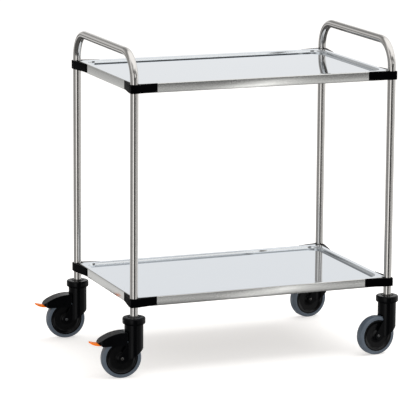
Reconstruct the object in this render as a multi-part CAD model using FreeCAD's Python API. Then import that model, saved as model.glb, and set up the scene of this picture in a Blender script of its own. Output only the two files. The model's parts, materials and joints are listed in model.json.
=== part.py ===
import FreeCAD, Part
import math
import os

Vec = FreeCAD.Vector

# Stainless serving trolley: two tube hoops, two pressed shelves, four swivel castors.
# Millimetres, +Z up. The long side runs along X and the front castors are at -Y.

# ---------------------------------------------------------------- driving dimensions
TUBE_SPACING_X = 850.0        # between the leg axes along the long side
TUBE_SPACING_Y = 530.0        # between the leg axes along the short side
TUBE_R = 12.5
TUBE_WALL = 1.5
TUBE_FOOT_Z = 180.0           # cut end of a leg, inside the castor collar
HANDLE_AXIS_Z = 991.0         # axis of the hoop's level top run
HOOP_BEND_R = 80.0
CUT_OVER = 1.0                # how far a cutting solid runs past what it cuts

SHELF_TOP_Z = {"upper": 901.0, "lower": 244.0}
SHELF_INSET_X = 2.0           # apron plane inboard of the tube axes, short sides
SHELF_INSET_Y = 3.0           # the same on the long sides
SHEET = 1.2                   # stainless sheet thickness
APRON_H = 29.0
APRON_BEND_R = 2.5            # outside radius at the rim's outer edge
HEM_W = 8.0                   # lip turned in under the apron
RIM_W = 18.0                  # level border round the sunk floor
PAN_DEPTH = 8.0
PAN_CORNER_R = 36.0
PAN_TOP_R = 2.0
PAN_FLOOR_R = 3.0

SLEEVE_HALF = 14.3            # half the corner bracket's square sleeve
SLEEVE_CORNER_R = 4.0
BRACKET_ARM_X = 75.5          # reach of the arm on the long side, from the tube axis
BRACKET_ARM_Y = 90.0          # reach of the arm on the short side
BRACKET_PROUD = 2.0           # arm end's outer face beyond the apron
BRACKET_LIFT = 2.5            # bracket's underside above the apron's
INNER_ARM_T = 3.0             # tongue behind the apron
INNER_ARM_REACH = 58.0
GUSSET = 23.0                 # inner corner block that takes the screw
ARM_START = 0.55              # where an arm leaves the sleeve, as a share of its half width
ARM_SWEEP = (4.0, 1.5)        # how far the middle of an arm's face is drawn back and in
FIT = 0.1                     # gap between pieces that are clamped together

SCREW_R = 2.5
SCREW_DROP = 20.0             # screw axis below the shelf top
SCREW_HEAD_R = 4.6
SCREW_HEAD_H = 3.0
SCREW_SEAT_GAP = 0.4          # round and under the head
SCREW_HEAD_ROUND = 1.2
SCREW_TIP = 2.0               # how far the tip stands inside the tube

WHEEL_R = 62.5
TYRE_W = 30.0
TYRE_EDGE_R = 3.0             # bevel at the tread's shoulders
TYRE_CROWN = 0.3              # rise of the tread's middle
TYRE_LIP = 0.9                # round where the tyre meets the wheel centre
CORE_R = 50.0
CORE_LIP_W = 29.0
CORE_DISH_W = 18.0
HUB_R = 14.0
HUB_W = 31.2
CASTOR_TRAIL = 41.0           # wheel axis behind the swivel axis
SWIVEL_ANGLE = {"left": -5.0, "right": 7.0}

COLLAR_R = 35.3
COLLAR_Z = (167.0, 187.0)
COLLAR_TOP_ROUND = 4.3
COLLAR_FOOT_ROUND = 3.5
SOCKET_R = 16.2               # raised lip round the tube
SOCKET_H = 0.9
GROOVE_R = (17.0, 20.0)       # shallow groove round that lip
GROOVE_DEPTH = 1.8
FORK_R = 29.0
FORK_HEAD_ROUND = 2.0
FORK_TOP_Z = 166.4
FORK_SHOULDER_Z = 92.0        # front wall's lower edge
FORK_SLOT_HALF = 16.2
FORK_LEG_FACE = 20.0          # outer face of the flat legs from the mid plane
FORK_LEG_TOP_Z = 113.5
FORK_REAR_Z = 125.5           # rear wall's lower edge, over the wheel
WHEEL_GAP = 3.0               # between the tyre and the fork's arch
LEG_END = (-37.0, 61.5)       # centre of the leg's rounded end, from the swivel axis
LEG_END_R = 14.5

AXLE_R = 4.0
AXLE_HEAD_R = 5.2
AXLE_HEAD_H = 1.8
HUB_ROUND = 1.5
WEB_STEP = 1.2                # rise of the web at the hub and at the rim
BUSH_R = 6.0
RUN_FIT = 0.06                # radial clearance of a running fit

STEM_R = 5.0
STEM_TOP_Z = 221.0
JOURNAL_R = 6.0
JOURNAL_HEAD_R = 9.0
STEM_FLANGE_R = 12.0
STEM_FLANGE_H = 2.7
STEM_GAP = 0.3                # between the turning fork and the stem's faces
JOURNAL_HEAD_H = 3.4
HEAD_ROOM = 2.0               # free space round the retaining head
NUT_R = 8.2                   # to the nut's corners
NUT_H = 5.5
BEARING_R = 15.0
BEARING_Z = (150.0, 166.0)
BEARING_EDGE = 0.6
EXPANDER_R = 10.9
EXPANDER_TOP_Z = 214.0
EXPANDER_RIBS = 4
RIB_GROOVE = 1.2

PEDAL_PIVOT = (-34.0, 133.0)  # from the swivel axis, and height
PEDAL_TRAVEL = 10.0           # degrees from released to braked
PEDAL_HALF = 23.2
PEDAL_WALL = 2.8
PEDAL_GAP = 1.5               # between the hood and the fork's head
# outline, in side view, of what is cut from the hood to let it pass the fork
PEDAL_FORK_EDGE = [(-24.5, 160.0), (-25.0, 122.0), (-29.5, 95.0), (0.0, 95.0), (0.0, 160.0)]
PEDAL_SKIRT_Z = 103.5
PEDAL_END_R = 17.0            # rounding of the hood's end seen from above
HOOD_TOP = [(-20.0, 143.8), (-76.0, 137.4), (-113.5, 117.0)]   # its back line: fork, middle, toe
HOOD_NOSE = (-116.0, 113.0)
HOOD_HEEL_X = -103.0          # where the toe meets the skirt
HOOD_TIP_X = -116.5
HOOD_FORK_X = -10.0           # the hood's block ends here, inside the fork
HOOD_Z = (60.0, 160.0)        # heights that clear the whole hood
HOOD_CHEEK_T = 6.0            # bosses inside the hood that the pin runs in
PIVOT_PIN_R = 3.0
PIVOT_PIN_INSET = 3.4         # its ends behind the hood's outer faces
PIN_CHAMFER = 0.4
LUG_R = 5.5
LUG_HALF = 14.0
TAB_REACH = 142.0
TAB_HALF = 12.0
TAB_TOP = [(-104.5, 111.7), (-119.0, 112.8), (-TAB_REACH, 119.0)]     # root, middle and tip in side view
TAB_UNDER = [(-TAB_REACH, 115.5), (-122.0, 106.6), (-105.5, 104.8)]   # tip, middle and root
SHOE_HALF = 12.0
SHOE_X = (-88.0, -66.0)       # along the hood, from the swivel axis
SHOE_LOW_Z = 112.0
SHOE_GAP = 0.5                # left between shoe and tyre with the brake on

# ---------------------------------------------------------------- derived values
AXLE_X = -CASTOR_TRAIL
AXLE_Z = WHEEL_R
TRAY_HALF_X = TUBE_SPACING_X / 2 - SHELF_INSET_X
TRAY_HALF_Y = TUBE_SPACING_Y / 2 - SHELF_INSET_Y
PAN_HALF_X = TRAY_HALF_X - RIM_W
PAN_HALF_Y = TRAY_HALF_Y - RIM_W

CORNERS = {
    "front_left": (-1, -1),
    "back_left": (-1, 1),
    "front_right": (1, -1),
    "back_right": (1, 1),
}


def side_of(corner):
    """The end of the trolley that a corner belongs to."""
    return "left" if CORNERS[corner][0] < 0 else "right"


def row_shift():
    """X shift that puts the origin under the middle of the whole trolley's box.

    The pedal tab's rounded end is the leftmost point and the right collars are the rightmost."""
    swing = math.radians(SWIVEL_ANGLE["left"])
    leftmost = -TUBE_SPACING_X / 2 - (TAB_REACH - TAB_HALF) * math.cos(swing) - TAB_HALF
    rightmost = TUBE_SPACING_X / 2 + COLLAR_R
    return -(leftmost + rightmost) / 2


# ---------------------------------------------------------------- small helpers
def box(x0, x1, y0, y1, z0, z1):
    return Part.makeBox(x1 - x0, y1 - y0, z1 - z0, Vec(x0, y0, z0))


def upright(radius, z0, z1, x=0.0, y=0.0):
    return Part.makeCylinder(radius, z1 - z0, Vec(x, y, z0), Vec(0, 0, 1))


def crossways(radius, half, x, z):
    """A cylinder along Y, centred on the mid plane."""
    return Part.makeCylinder(radius, 2 * half, Vec(x, -half, z), Vec(0, 1, 0))


def turned(profile, axis):
    """A solid of revolution from (radius, height) points, about Z or about Y."""
    if axis == "z":
        points = [Vec(r, 0, h) for r, h in profile]
        direction = Vec(0, 0, 1)
    else:
        points = [Vec(r, h, 0) for r, h in profile]
        direction = Vec(0, 1, 0)
    wire = Part.makePolygon(points + points[:1])
    return Part.Face(wire).revolve(Vec(0, 0, 0), direction, 360)


def rounded_prism(half_x, half_y, corner_r, z0, z1):
    """A block with rounded upright edges."""
    block = box(-half_x, half_x, -half_y, half_y, z0, z1)
    edges = [e for e in block.Edges if abs(e.tangentAt(e.FirstParameter).z) > 0.99]
    return block.makeFillet(corner_r, edges)


def edges_at_height(shape, z):
    """The edges that lie wholly at one height."""
    return [e for e in shape.Edges if abs(e.BoundBox.ZMin - z) < 1e-4 and abs(e.BoundBox.ZMax - z) < 1e-4]


def tangent_point(point, centre, radius, side):
    """Where the line from point touches a circle; side is +1 or -1."""
    dx = point[0] - centre[0]
    dz = point[1] - centre[1]
    reach = math.hypot(dx, dz)
    angle = math.atan2(dz, dx) + side * math.acos(radius / reach)
    return (centre[0] + radius * math.cos(angle), centre[1] + radius * math.sin(angle))


def xz_vec(point):
    return Vec(point[0], 0, point[1])


def extrude_xz(edges, half):
    """A closed outline in the mid plane, extruded to both sides."""
    face = Part.Face(Part.Wire(edges))
    solid = face.extrude(Vec(0, 2 * half, 0))
    solid.translate(Vec(0, -half, 0))
    return solid


def line(a, b):
    return Part.LineSegment(a, b).toShape()


def arc(a, b, c):
    return Part.Arc(a, b, c).toShape()


# ---------------------------------------------------------------- frame
def tube_run(radius):
    """A hoop's whole run as a solid rod: leg, bend, level top, bend, leg, in the YZ plane."""
    half = TUBE_SPACING_Y / 2
    bend_z = HANDLE_AXIS_Z - HOOP_BEND_R
    bend_y = half - HOOP_BEND_R
    slant = HOOP_BEND_R * math.sqrt(0.5)
    path = [
        line(Vec(0, -half, TUBE_FOOT_Z), Vec(0, -half, bend_z)),
        arc(Vec(0, -half, bend_z), Vec(0, -bend_y - slant, bend_z + slant), Vec(0, -bend_y, HANDLE_AXIS_Z)),
        line(Vec(0, -bend_y, HANDLE_AXIS_Z), Vec(0, bend_y, HANDLE_AXIS_Z)),
        arc(Vec(0, bend_y, HANDLE_AXIS_Z), Vec(0, bend_y + slant, bend_z + slant), Vec(0, half, bend_z)),
        line(Vec(0, half, bend_z), Vec(0, half, TUBE_FOOT_Z)),
    ]
    ring = Part.Wire(Part.Circle(Vec(0, -half, TUBE_FOOT_Z), Vec(0, 0, 1), radius).toShape())
    return Part.Wire(path).makePipeShell([ring], True, False)


def screw_axis(corner, level):
    """Start on the tube's axis, and the level direction towards the shelf's middle."""
    sx, sy = CORNERS[corner]
    start = Vec(sx * TUBE_SPACING_X / 2, sy * TUBE_SPACING_Y / 2, SHELF_TOP_Z[level] - SCREW_DROP)
    inward = Vec(-sx, -sy, 0).normalize()
    return start, inward


def hoop(side):
    """One bent tube with a screw hole where each bracket holds it."""
    tube = tube_run(TUBE_R).cut(tube_run(TUBE_R - TUBE_WALL))
    tube.translate(Vec((-1 if side == "left" else 1) * TUBE_SPACING_X / 2, 0, 0))
    for corner in CORNERS:
        if side_of(corner) == side:
            for level in SHELF_TOP_Z:
                start, inward = screw_axis(corner, level)
                tube = tube.cut(Part.makeCylinder(SCREW_R + FIT, TUBE_R + FIT, start, inward))
    return tube


def shelf(level):
    """Pressed tray: level rim, sunk floor, apron turned down and hemmed, corners notched."""
    top = SHELF_TOP_Z[level]
    bottom = top - APRON_H
    outer = box(-TRAY_HALF_X, TRAY_HALF_X, -TRAY_HALF_Y, TRAY_HALF_Y, bottom, top)
    outer = outer.makeFillet(APRON_BEND_R, edges_at_height(outer, top))
    hollow = box(-TRAY_HALF_X + SHEET, TRAY_HALF_X - SHEET,
                 -TRAY_HALF_Y + SHEET, TRAY_HALF_Y - SHEET, bottom + SHEET, top - SHEET)
    hollow = hollow.makeFillet(APRON_BEND_R - SHEET, edges_at_height(hollow, top - SHEET))
    opening = box(-TRAY_HALF_X + HEM_W, TRAY_HALF_X - HEM_W,
                  -TRAY_HALF_Y + HEM_W, TRAY_HALF_Y - HEM_W, bottom - CUT_OVER, bottom + 2 * SHEET)
    skin = outer.cut(hollow).cut(opening)
    pan_outside = rounded_prism(PAN_HALF_X + SHEET, PAN_HALF_Y + SHEET, PAN_CORNER_R + SHEET,
                                top - PAN_DEPTH - SHEET, top - SHEET / 2)
    pan_foot = edges_at_height(pan_outside, top - PAN_DEPTH - SHEET)
    pan_outside = pan_outside.makeFillet(PAN_FLOOR_R + SHEET, pan_foot)
    pan_inside = rounded_prism(PAN_HALF_X, PAN_HALF_Y, PAN_CORNER_R, top - PAN_DEPTH, top + CUT_OVER)
    pan_inside = pan_inside.makeFillet(PAN_FLOOR_R, edges_at_height(pan_inside, top - PAN_DEPTH))
    tray = skin.fuse(pan_outside).cut(pan_inside)
    notch = SLEEVE_HALF + FIT
    for sx, sy in CORNERS.values():
        x = sorted([sx * (TUBE_SPACING_X / 2 - notch), sx * (TRAY_HALF_X + CUT_OVER)])
        y = sorted([sy * (TUBE_SPACING_Y / 2 - notch), sy * (TRAY_HALF_Y + CUT_OVER)])
        tray = tray.cut(box(x[0], x[1], y[0], y[1], bottom - CUT_OVER, top + CUT_OVER))
    tray = tray.removeSplitter()
    lip = [e for e in edges_at_height(tray, top)
           if e.BoundBox.XMax < PAN_HALF_X + FIT and e.BoundBox.XMin > -PAN_HALF_X - FIT
           and e.BoundBox.YMax < PAN_HALF_Y + FIT and e.BoundBox.YMin > -PAN_HALF_Y - FIT]
    return tray.makeFillet(PAN_TOP_R, lip)


def bracket_outline():
    """Plan of the moulded corner: square sleeve with two arms that sweep in to the aprons."""
    h = SLEEVE_HALF
    r = SLEEVE_CORNER_R
    face_x = SHELF_INSET_X - FIT          # apron's outer face on the short side
    face_y = SHELF_INSET_Y - FIT
    end_x = SHELF_INSET_X - BRACKET_PROUD
    end_y = SHELF_INSET_Y - BRACKET_PROUD
    slant = r * (1 - math.sqrt(0.5))
    back, draw = ARM_SWEEP
    front_bulge = Vec((h + BRACKET_ARM_X) / 2 - back, (end_y - h) / 2 + draw, 0)
    side_bulge = Vec((end_x - h) / 2 + draw, (h + BRACKET_ARM_Y) / 2 - back, 0)
    root = ARM_START * h
    return [
        arc(Vec(-h, -h + r, 0), Vec(-h + slant, -h + slant, 0), Vec(-h + r, -h, 0)),
        line(Vec(-h + r, -h, 0), Vec(root, -h, 0)),
        arc(Vec(root, -h, 0), front_bulge, Vec(BRACKET_ARM_X, end_y, 0)),
        line(Vec(BRACKET_ARM_X, end_y, 0), Vec(BRACKET_ARM_X, face_y, 0)),
        line(Vec(BRACKET_ARM_X, face_y, 0), Vec(h, face_y, 0)),
        line(Vec(h, face_y, 0), Vec(h, h, 0)),
        line(Vec(h, h, 0), Vec(face_x, h, 0)),
        line(Vec(face_x, h, 0), Vec(face_x, BRACKET_ARM_Y, 0)),
        line(Vec(face_x, BRACKET_ARM_Y, 0), Vec(end_x, BRACKET_ARM_Y, 0)),
        arc(Vec(end_x, BRACKET_ARM_Y, 0), side_bulge, Vec(-h, root, 0)),
        line(Vec(-h, root, 0), Vec(-h, -h + r, 0)),
    ]


def corner_bracket(corner, level):
    """Moulded corner that grips the tube and the shelf's two aprons."""
    top = SHELF_TOP_Z[level]
    low = top - APRON_H + BRACKET_LIFT
    under_rim = top - SHEET - FIT - APRON_BEND_R + SHEET
    outline = Part.Face(Part.Wire(bracket_outline()))
    body = outline.extrude(Vec(0, 0, top - low))
    body.translate(Vec(0, 0, low))
    inner_x = SHELF_INSET_X + SHEET + FIT
    inner_y = SHELF_INSET_Y + SHEET + FIT
    tongue_low = low + SHEET
    h = SLEEVE_HALF
    body = body.fuse(box(h, INNER_ARM_REACH, inner_y, inner_y + INNER_ARM_T, tongue_low, under_rim))
    body = body.fuse(box(inner_x, inner_x + INNER_ARM_T, h, INNER_ARM_REACH, tongue_low, under_rim))
    body = body.fuse(box(h - CUT_OVER, GUSSET, inner_y, GUSSET, tongue_low, under_rim))
    body = body.fuse(box(inner_x, GUSSET, h - CUT_OVER, GUSSET, tongue_low, under_rim))
    body = body.cut(upright(TUBE_R + FIT, low - CUT_OVER, top + CUT_OVER))
    diagonal = Vec(1, 1, 0).normalize()
    screw_line = Part.makeCylinder(SCREW_R + FIT, GUSSET * 2, Vec(0, 0, top - SCREW_DROP), diagonal)
    seat = diagonal * (GUSSET * math.sqrt(2) - SCREW_HEAD_H)
    seat_start = Vec(seat.x, seat.y, top - SCREW_DROP)
    head_seat = Part.makeCylinder(SCREW_HEAD_R + SCREW_SEAT_GAP, GUSSET, seat_start, diagonal)
    body = body.cut(screw_line).cut(head_seat).removeSplitter()
    sx, sy = CORNERS[corner]
    if sx > 0:
        body = body.mirror(Vec(0, 0, 0), Vec(1, 0, 0))
    if sy > 0:
        body = body.mirror(Vec(0, 0, 0), Vec(0, 1, 0))
    body.translate(Vec(sx * TUBE_SPACING_X / 2, sy * TUBE_SPACING_Y / 2, 0))
    return body


def shelf_screws(level):
    """The screws that draw each bracket on to its tube, one at each corner."""
    screws = []
    seat = GUSSET * math.sqrt(2) - SCREW_HEAD_H
    tip = TUBE_R - TUBE_WALL - SCREW_TIP
    head_h = SCREW_HEAD_H - SCREW_SEAT_GAP
    for corner in CORNERS:
        start, inward = screw_axis(corner, level)
        shank = Part.makeCylinder(SCREW_R, seat - tip + SCREW_SEAT_GAP, start + inward * tip, inward)
        head = Part.makeCylinder(SCREW_HEAD_R, head_h, start + inward * (seat + FIT), inward)
        head = head.makeFillet(SCREW_HEAD_ROUND, [head.Edges[0]])
        screws.append(shank.fuse(head).removeSplitter())
    return Part.makeCompound(screws)


# ---------------------------------------------------------------- castor, swivel axis on Z
def collar():
    """Round bumper between the leg and the fork, with a socket for the tube."""
    low, top = COLLAR_Z
    ring = upright(COLLAR_R, low, top)
    ring = ring.makeFillet(COLLAR_TOP_ROUND, edges_at_height(ring, top))
    ring = ring.makeFillet(COLLAR_FOOT_ROUND, edges_at_height(ring, low))
    groove = upright(GROOVE_R[1], top - GROOVE_DEPTH, top + CUT_OVER)
    groove = groove.cut(upright(GROOVE_R[0], top - GROOVE_DEPTH, top + CUT_OVER))
    ring = ring.fuse(upright(SOCKET_R, low, top + SOCKET_H)).cut(groove)
    ring = ring.cut(upright(TUBE_R + FIT, TUBE_FOOT_Z, top + SOCKET_H + CUT_OVER))
    ring = ring.cut(upright(STEM_R + FIT, low - CUT_OVER, top))
    flange_seat = low + STEM_FLANGE_H + SCREW_SEAT_GAP
    return ring.cut(upright(STEM_FLANGE_R + FIT, low - CUT_OVER, flange_seat)).removeSplitter()


def stem():
    """Swivel pin: nut, thread, flange under the collar, journal and retaining head."""
    flange_low = COLLAR_Z[0] + STEM_GAP
    flange_top = flange_low + STEM_FLANGE_H
    head_top = BEARING_Z[0] - STEM_GAP
    head_low = head_top - JOURNAL_HEAD_H
    profile = [
        (0, head_low), (JOURNAL_HEAD_R, head_low), (JOURNAL_HEAD_R, head_top),
        (JOURNAL_R, head_top), (JOURNAL_R, flange_low), (STEM_FLANGE_R, flange_low),
        (STEM_FLANGE_R, flange_top), (STEM_R, flange_top), (STEM_R, STEM_TOP_Z), (0, STEM_TOP_Z),
    ]
    turns = [math.radians(60 * i) for i in range(7)]
    hexagon = [Vec(NUT_R * math.cos(a), NUT_R * math.sin(a), EXPANDER_TOP_Z + FIT) for a in turns]
    nut = Part.Face(Part.makePolygon(hexagon)).extrude(Vec(0, 0, NUT_H))
    return turned(profile, "z").fuse(nut).removeSplitter()


def expander():
    """Ribbed sleeve that grips the inside of the leg."""
    low = TUBE_FOOT_Z + STEM_GAP
    top = EXPANDER_TOP_Z
    bore = STEM_R + FIT
    body = turned([(bore, low), (EXPANDER_R, low), (EXPANDER_R, top), (bore, top)], "z")
    pitch = (top - low) / EXPANDER_RIBS
    for i in range(1, EXPANDER_RIBS):
        z = low + pitch * i
        groove = upright(EXPANDER_R + CUT_OVER, z - RIB_GROOVE, z + RIB_GROOVE)
        body = body.cut(groove.cut(upright(EXPANDER_R - RIB_GROOVE, z - RIB_GROOVE, z + RIB_GROOVE)))
    return body


def swivel_bearing():
    """Bearing ring pressed into the fork's head, running on the stem's journal."""
    low, top = BEARING_Z
    bore = JOURNAL_R + RUN_FIT
    edge = BEARING_EDGE
    return turned([(bore, low), (BEARING_R - edge, low), (BEARING_R, low + edge), (BEARING_R, top - edge),
                   (BEARING_R - edge, top), (bore, top)], "z")


def fork_side():
    """The fork's outline from the side: head, rear arch edge, raked legs, rounded ends."""
    knee = (-math.sqrt(FORK_R ** 2 - FORK_LEG_FACE ** 2), FORK_LEG_TOP_Z)
    shoulder = (FORK_R + CUT_OVER, FORK_SHOULDER_Z)
    rear = (-FORK_R - CUT_OVER, FORK_REAR_Z)
    lead = tangent_point(knee, LEG_END, LEG_END_R, 1)
    trail = tangent_point(shoulder, LEG_END, LEG_END_R, -1)
    under_angle = math.atan2(trail[1] - LEG_END[1], trail[0] - LEG_END[0])
    over_angle = math.atan2(lead[1] - LEG_END[1], lead[0] - LEG_END[0])
    middle_angle = (under_angle + over_angle) / 2 + math.pi
    under = (LEG_END[0] + LEG_END_R * math.cos(middle_angle), LEG_END[1] + LEG_END_R * math.sin(middle_angle))
    points = [(-FORK_R - CUT_OVER, FORK_TOP_Z), rear, knee, lead]
    edges = [line(xz_vec(a), xz_vec(b)) for a, b in zip(points, points[1:])]
    edges.append(arc(xz_vec(lead), xz_vec(under), xz_vec(trail)))
    points = [trail, shoulder, (FORK_R + CUT_OVER, FORK_TOP_Z), (-FORK_R - CUT_OVER, FORK_TOP_Z)]
    edges += [line(xz_vec(a), xz_vec(b)) for a, b in zip(points, points[1:])]
    return extrude_xz(edges, FORK_R + CUT_OVER)


def fork(side):
    """Moulded fork: round head with the bearing's seat, front wall and two flat legs."""
    low = LEG_END[1] - LEG_END_R - CUT_OVER
    head = upright(FORK_R, low, FORK_TOP_Z)
    head = head.makeFillet(FORK_HEAD_ROUND, edges_at_height(head, FORK_TOP_Z))
    slab = box(LEG_END[0] - LEG_END_R - CUT_OVER, 0, -FORK_LEG_FACE, FORK_LEG_FACE, low, FORK_LEG_TOP_Z)
    body = head.fuse(slab).common(fork_side())
    if side == "left":
        px, pz = PEDAL_PIVOT
        lug = crossways(LUG_R, LUG_HALF, px, pz)
        lug = lug.fuse(box(px, -BEARING_R - FIT, -LUG_HALF, LUG_HALF, pz - LUG_R, pz + LUG_R))
        body = body.fuse(lug)
    body = body.cut(crossways(WHEEL_R + WHEEL_GAP, FORK_SLOT_HALF, AXLE_X, AXLE_Z))
    body = body.cut(upright(BEARING_R + FIT, BEARING_Z[0], FORK_TOP_Z + CUT_OVER))
    room_low = BEARING_Z[0] - JOURNAL_HEAD_H - HEAD_ROOM
    body = body.cut(upright(JOURNAL_HEAD_R + HEAD_ROOM, room_low, BEARING_Z[0] + CUT_OVER))
    body = body.cut(crossways(AXLE_R + FIT, FORK_R, AXLE_X, AXLE_Z))
    if side == "left":
        body = body.cut(crossways(PIVOT_PIN_R + FIT, LUG_HALF + CUT_OVER, PEDAL_PIVOT[0], PEDAL_PIVOT[1]))
    return body.removeSplitter()


def at_axle(shape):
    shape.translate(Vec(AXLE_X, 0, AXLE_Z))
    return shape


def axle():
    """Riveted wheel axle with a low domed head on each leg."""
    face = FORK_LEG_FACE + FIT
    head = [(AXLE_HEAD_R, face), (AXLE_HEAD_R, face + 0.5), (AXLE_HEAD_R * 0.82, face + 1.25),
            (AXLE_HEAD_R * 0.5, face + 1.65), (0, face + AXLE_HEAD_H)]
    profile = [(r, -y) for r, y in reversed(head)] + [(AXLE_R, -face), (AXLE_R, face)] + head
    return at_axle(turned(profile, "y"))


def axle_bush():
    """Spacer clamped between the legs, which the wheel's hub turns on."""
    half = FORK_SLOT_HALF - FIT
    profile = [(AXLE_R + FIT, -half), (BUSH_R, -half), (BUSH_R, half), (AXLE_R + FIT, half)]
    return at_axle(turned(profile, "y"))


def mirrored_profile(half_profile):
    """A profile that is the same on both sides of the wheel's mid plane."""
    return [(r, -y) for r, y in half_profile] + [(r, y) for r, y in reversed(half_profile)]


def wheel_core():
    """Moulded wheel centre: long hub, dished web, raised rim lip."""
    half_profile = [
        (BUSH_R + RUN_FIT, HUB_W / 2), (HUB_R - HUB_ROUND, HUB_W / 2), (HUB_R, HUB_W / 2 - HUB_ROUND),
        (HUB_R + 3 * WEB_STEP, CORE_DISH_W / 2 + WEB_STEP), (HUB_R + 5 * WEB_STEP, CORE_DISH_W / 2),
        (CORE_R - 8 * WEB_STEP, CORE_DISH_W / 2), (CORE_R - 5 * WEB_STEP, CORE_DISH_W / 2 + WEB_STEP),
        (CORE_R - 3 * WEB_STEP, CORE_LIP_W / 2 - WEB_STEP), (CORE_R - 2 * WEB_STEP, CORE_LIP_W / 2),
        (CORE_R, CORE_LIP_W / 2),
    ]
    return at_axle(turned(mirrored_profile(half_profile), "y"))


def tyre():
    """Soft tread ring with bevelled shoulders and a lightly crowned tread."""
    half = TYRE_W / 2
    bevel = TYRE_EDGE_R
    half_profile = [
        (CORE_R, half - TYRE_LIP), (CORE_R + TYRE_LIP, half), (WHEEL_R - 1.4 * bevel, half),
        (WHEEL_R - 0.6 * bevel, half - 0.6 * bevel), (WHEEL_R - TYRE_CROWN, half - 2 * bevel),
        (WHEEL_R, half - 3.5 * bevel),
    ]
    return at_axle(turned(mirrored_profile(half_profile), "y"))


# ---------------------------------------------------------------- brake, left castors only
def tab_shape(grow):
    """Flat tongue with a round tip that turns up towards the toe."""
    top = [Vec(x, 0, z + grow) for x, z in TAB_TOP]
    under = [Vec(x, 0, z - grow) for x, z in TAB_UNDER]
    outline = [arc(*top), line(top[2], under[0]), arc(*under), line(under[2], top[0])]
    half = TAB_HALF + grow
    tongue = extrude_xz(outline, half)
    low, high = HOOD_Z
    round_x = -TAB_REACH + TAB_HALF
    plan = upright(half, low, high, round_x)
    plan = plan.fuse(box(round_x, TAB_TOP[0][0] + TAB_HALF, -half, half, low, high))
    return tongue.common(plan).removeSplitter()


def hood_block(inset):
    """The pedal hood's outer form, or with an inset its hollow."""
    drop = [inset, inset, 0.4 * inset]
    ahead = [0.0, 0.0, inset]
    top = [Vec(x + a, 0, z - d) for (x, z), a, d in zip(HOOD_TOP, ahead, drop)]
    nose = Vec(HOOD_NOSE[0] + inset, 0, HOOD_NOSE[1])
    skirt = PEDAL_SKIRT_Z - 4 * inset
    corners = [top[2], nose, Vec(HOOD_HEEL_X + inset, 0, skirt), Vec(HOOD_FORK_X, 0, skirt),
               Vec(HOOD_FORK_X, 0, top[0].z), top[0]]
    edges = [arc(*top)] + [line(a, b) for a, b in zip(corners, corners[1:])]
    half = PEDAL_HALF - inset
    block = extrude_xz(edges, half)
    end_r = PEDAL_END_R - inset
    tip = HOOD_TIP_X + inset
    low, high = HOOD_Z
    plan = box(tip + end_r, 0, -half, half, low, high)
    plan = plan.fuse(box(tip, 0, -half + end_r, half - end_r, low, high))
    for sy in (-1, 1):
        plan = plan.fuse(upright(end_r, low, high, tip + end_r, sy * (half - end_r)))
    return block.common(plan)


def pedal():
    """Brake pedal: a hood over the wheel, hinged on the fork's lug."""
    px, pz = PEDAL_PIVOT
    low, high = HOOD_Z
    hood = hood_block(0.0).cut(hood_block(PEDAL_WALL))
    for sy in (-1, 1):
        cheek = crossways(LUG_R, HOOD_CHEEK_T / 2, px, pz)
        cheek.translate(Vec(0, sy * (LUG_HALF + 3 * FIT + HOOD_CHEEK_T / 2), 0))
        hood = hood.fuse(cheek)
    hood = hood.cut(upright(FORK_R + PEDAL_GAP, low, high))
    corners = [xz_vec(p) for p in PEDAL_FORK_EDGE]
    side_cut = Part.Face(Part.makePolygon(corners + corners[:1])).extrude(Vec(0, 2 * FORK_R, 0))
    side_cut.translate(Vec(0, -FORK_R, 0))
    hood = hood.cut(side_cut).cut(tab_shape(FIT))
    hood = hood.cut(crossways(PIVOT_PIN_R + RUN_FIT, PEDAL_HALF - PIVOT_PIN_INSET + 2 * FIT, px, pz))
    solids = sorted(hood.Solids, key=lambda s: s.Volume)
    return solids[-1].removeSplitter()


def braked_tyre(grow):
    """The tyre's envelope, as the pedal sees it with the brake fully on."""
    envelope = crossways(WHEEL_R + grow, PEDAL_HALF, AXLE_X, AXLE_Z)
    envelope.rotate(Vec(PEDAL_PIVOT[0], 0, PEDAL_PIVOT[1]), Vec(0, 1, 0), PEDAL_TRAVEL)
    return envelope


def brake_shoe():
    """Block under the hood, cut to the tyre's curve."""
    block = box(SHOE_X[0], SHOE_X[1], -SHOE_HALF, SHOE_HALF, SHOE_LOW_Z, HOOD_Z[1])
    block = block.common(hood_block(PEDAL_WALL + FIT))
    return block.cut(braked_tyre(SHOE_GAP)).removeSplitter()


def pivot_pin():
    """Steel pin in the fork's lug, which the pedal turns on."""
    pin = crossways(PIVOT_PIN_R, PEDAL_HALF - PIVOT_PIN_INSET, PEDAL_PIVOT[0], PEDAL_PIVOT[1])
    return pin.makeChamfer(PIN_CHAMFER, [e for e in pin.Edges if len(e.Vertexes) == 1])


def castor_parts(side):
    """Every piece of one castor, in the order it goes together."""
    pieces = {
        "castor_collar": collar(),
        "castor_expander": expander(),
        "castor_stem": stem(),
        "swivel_bearing": swivel_bearing(),
        "castor_fork": fork(side),
        "wheel_axle": axle(),
        "axle_bush": axle_bush(),
        "wheel_core": wheel_core(),
        "tyre": tyre(),
    }
    if side == "left":
        pieces["brake_pedal"] = pedal()
        pieces["pedal_tab"] = tab_shape(0.0)
        pieces["brake_shoe"] = brake_shoe()
        pieces["pedal_pin"] = pivot_pin()
    return pieces


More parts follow.
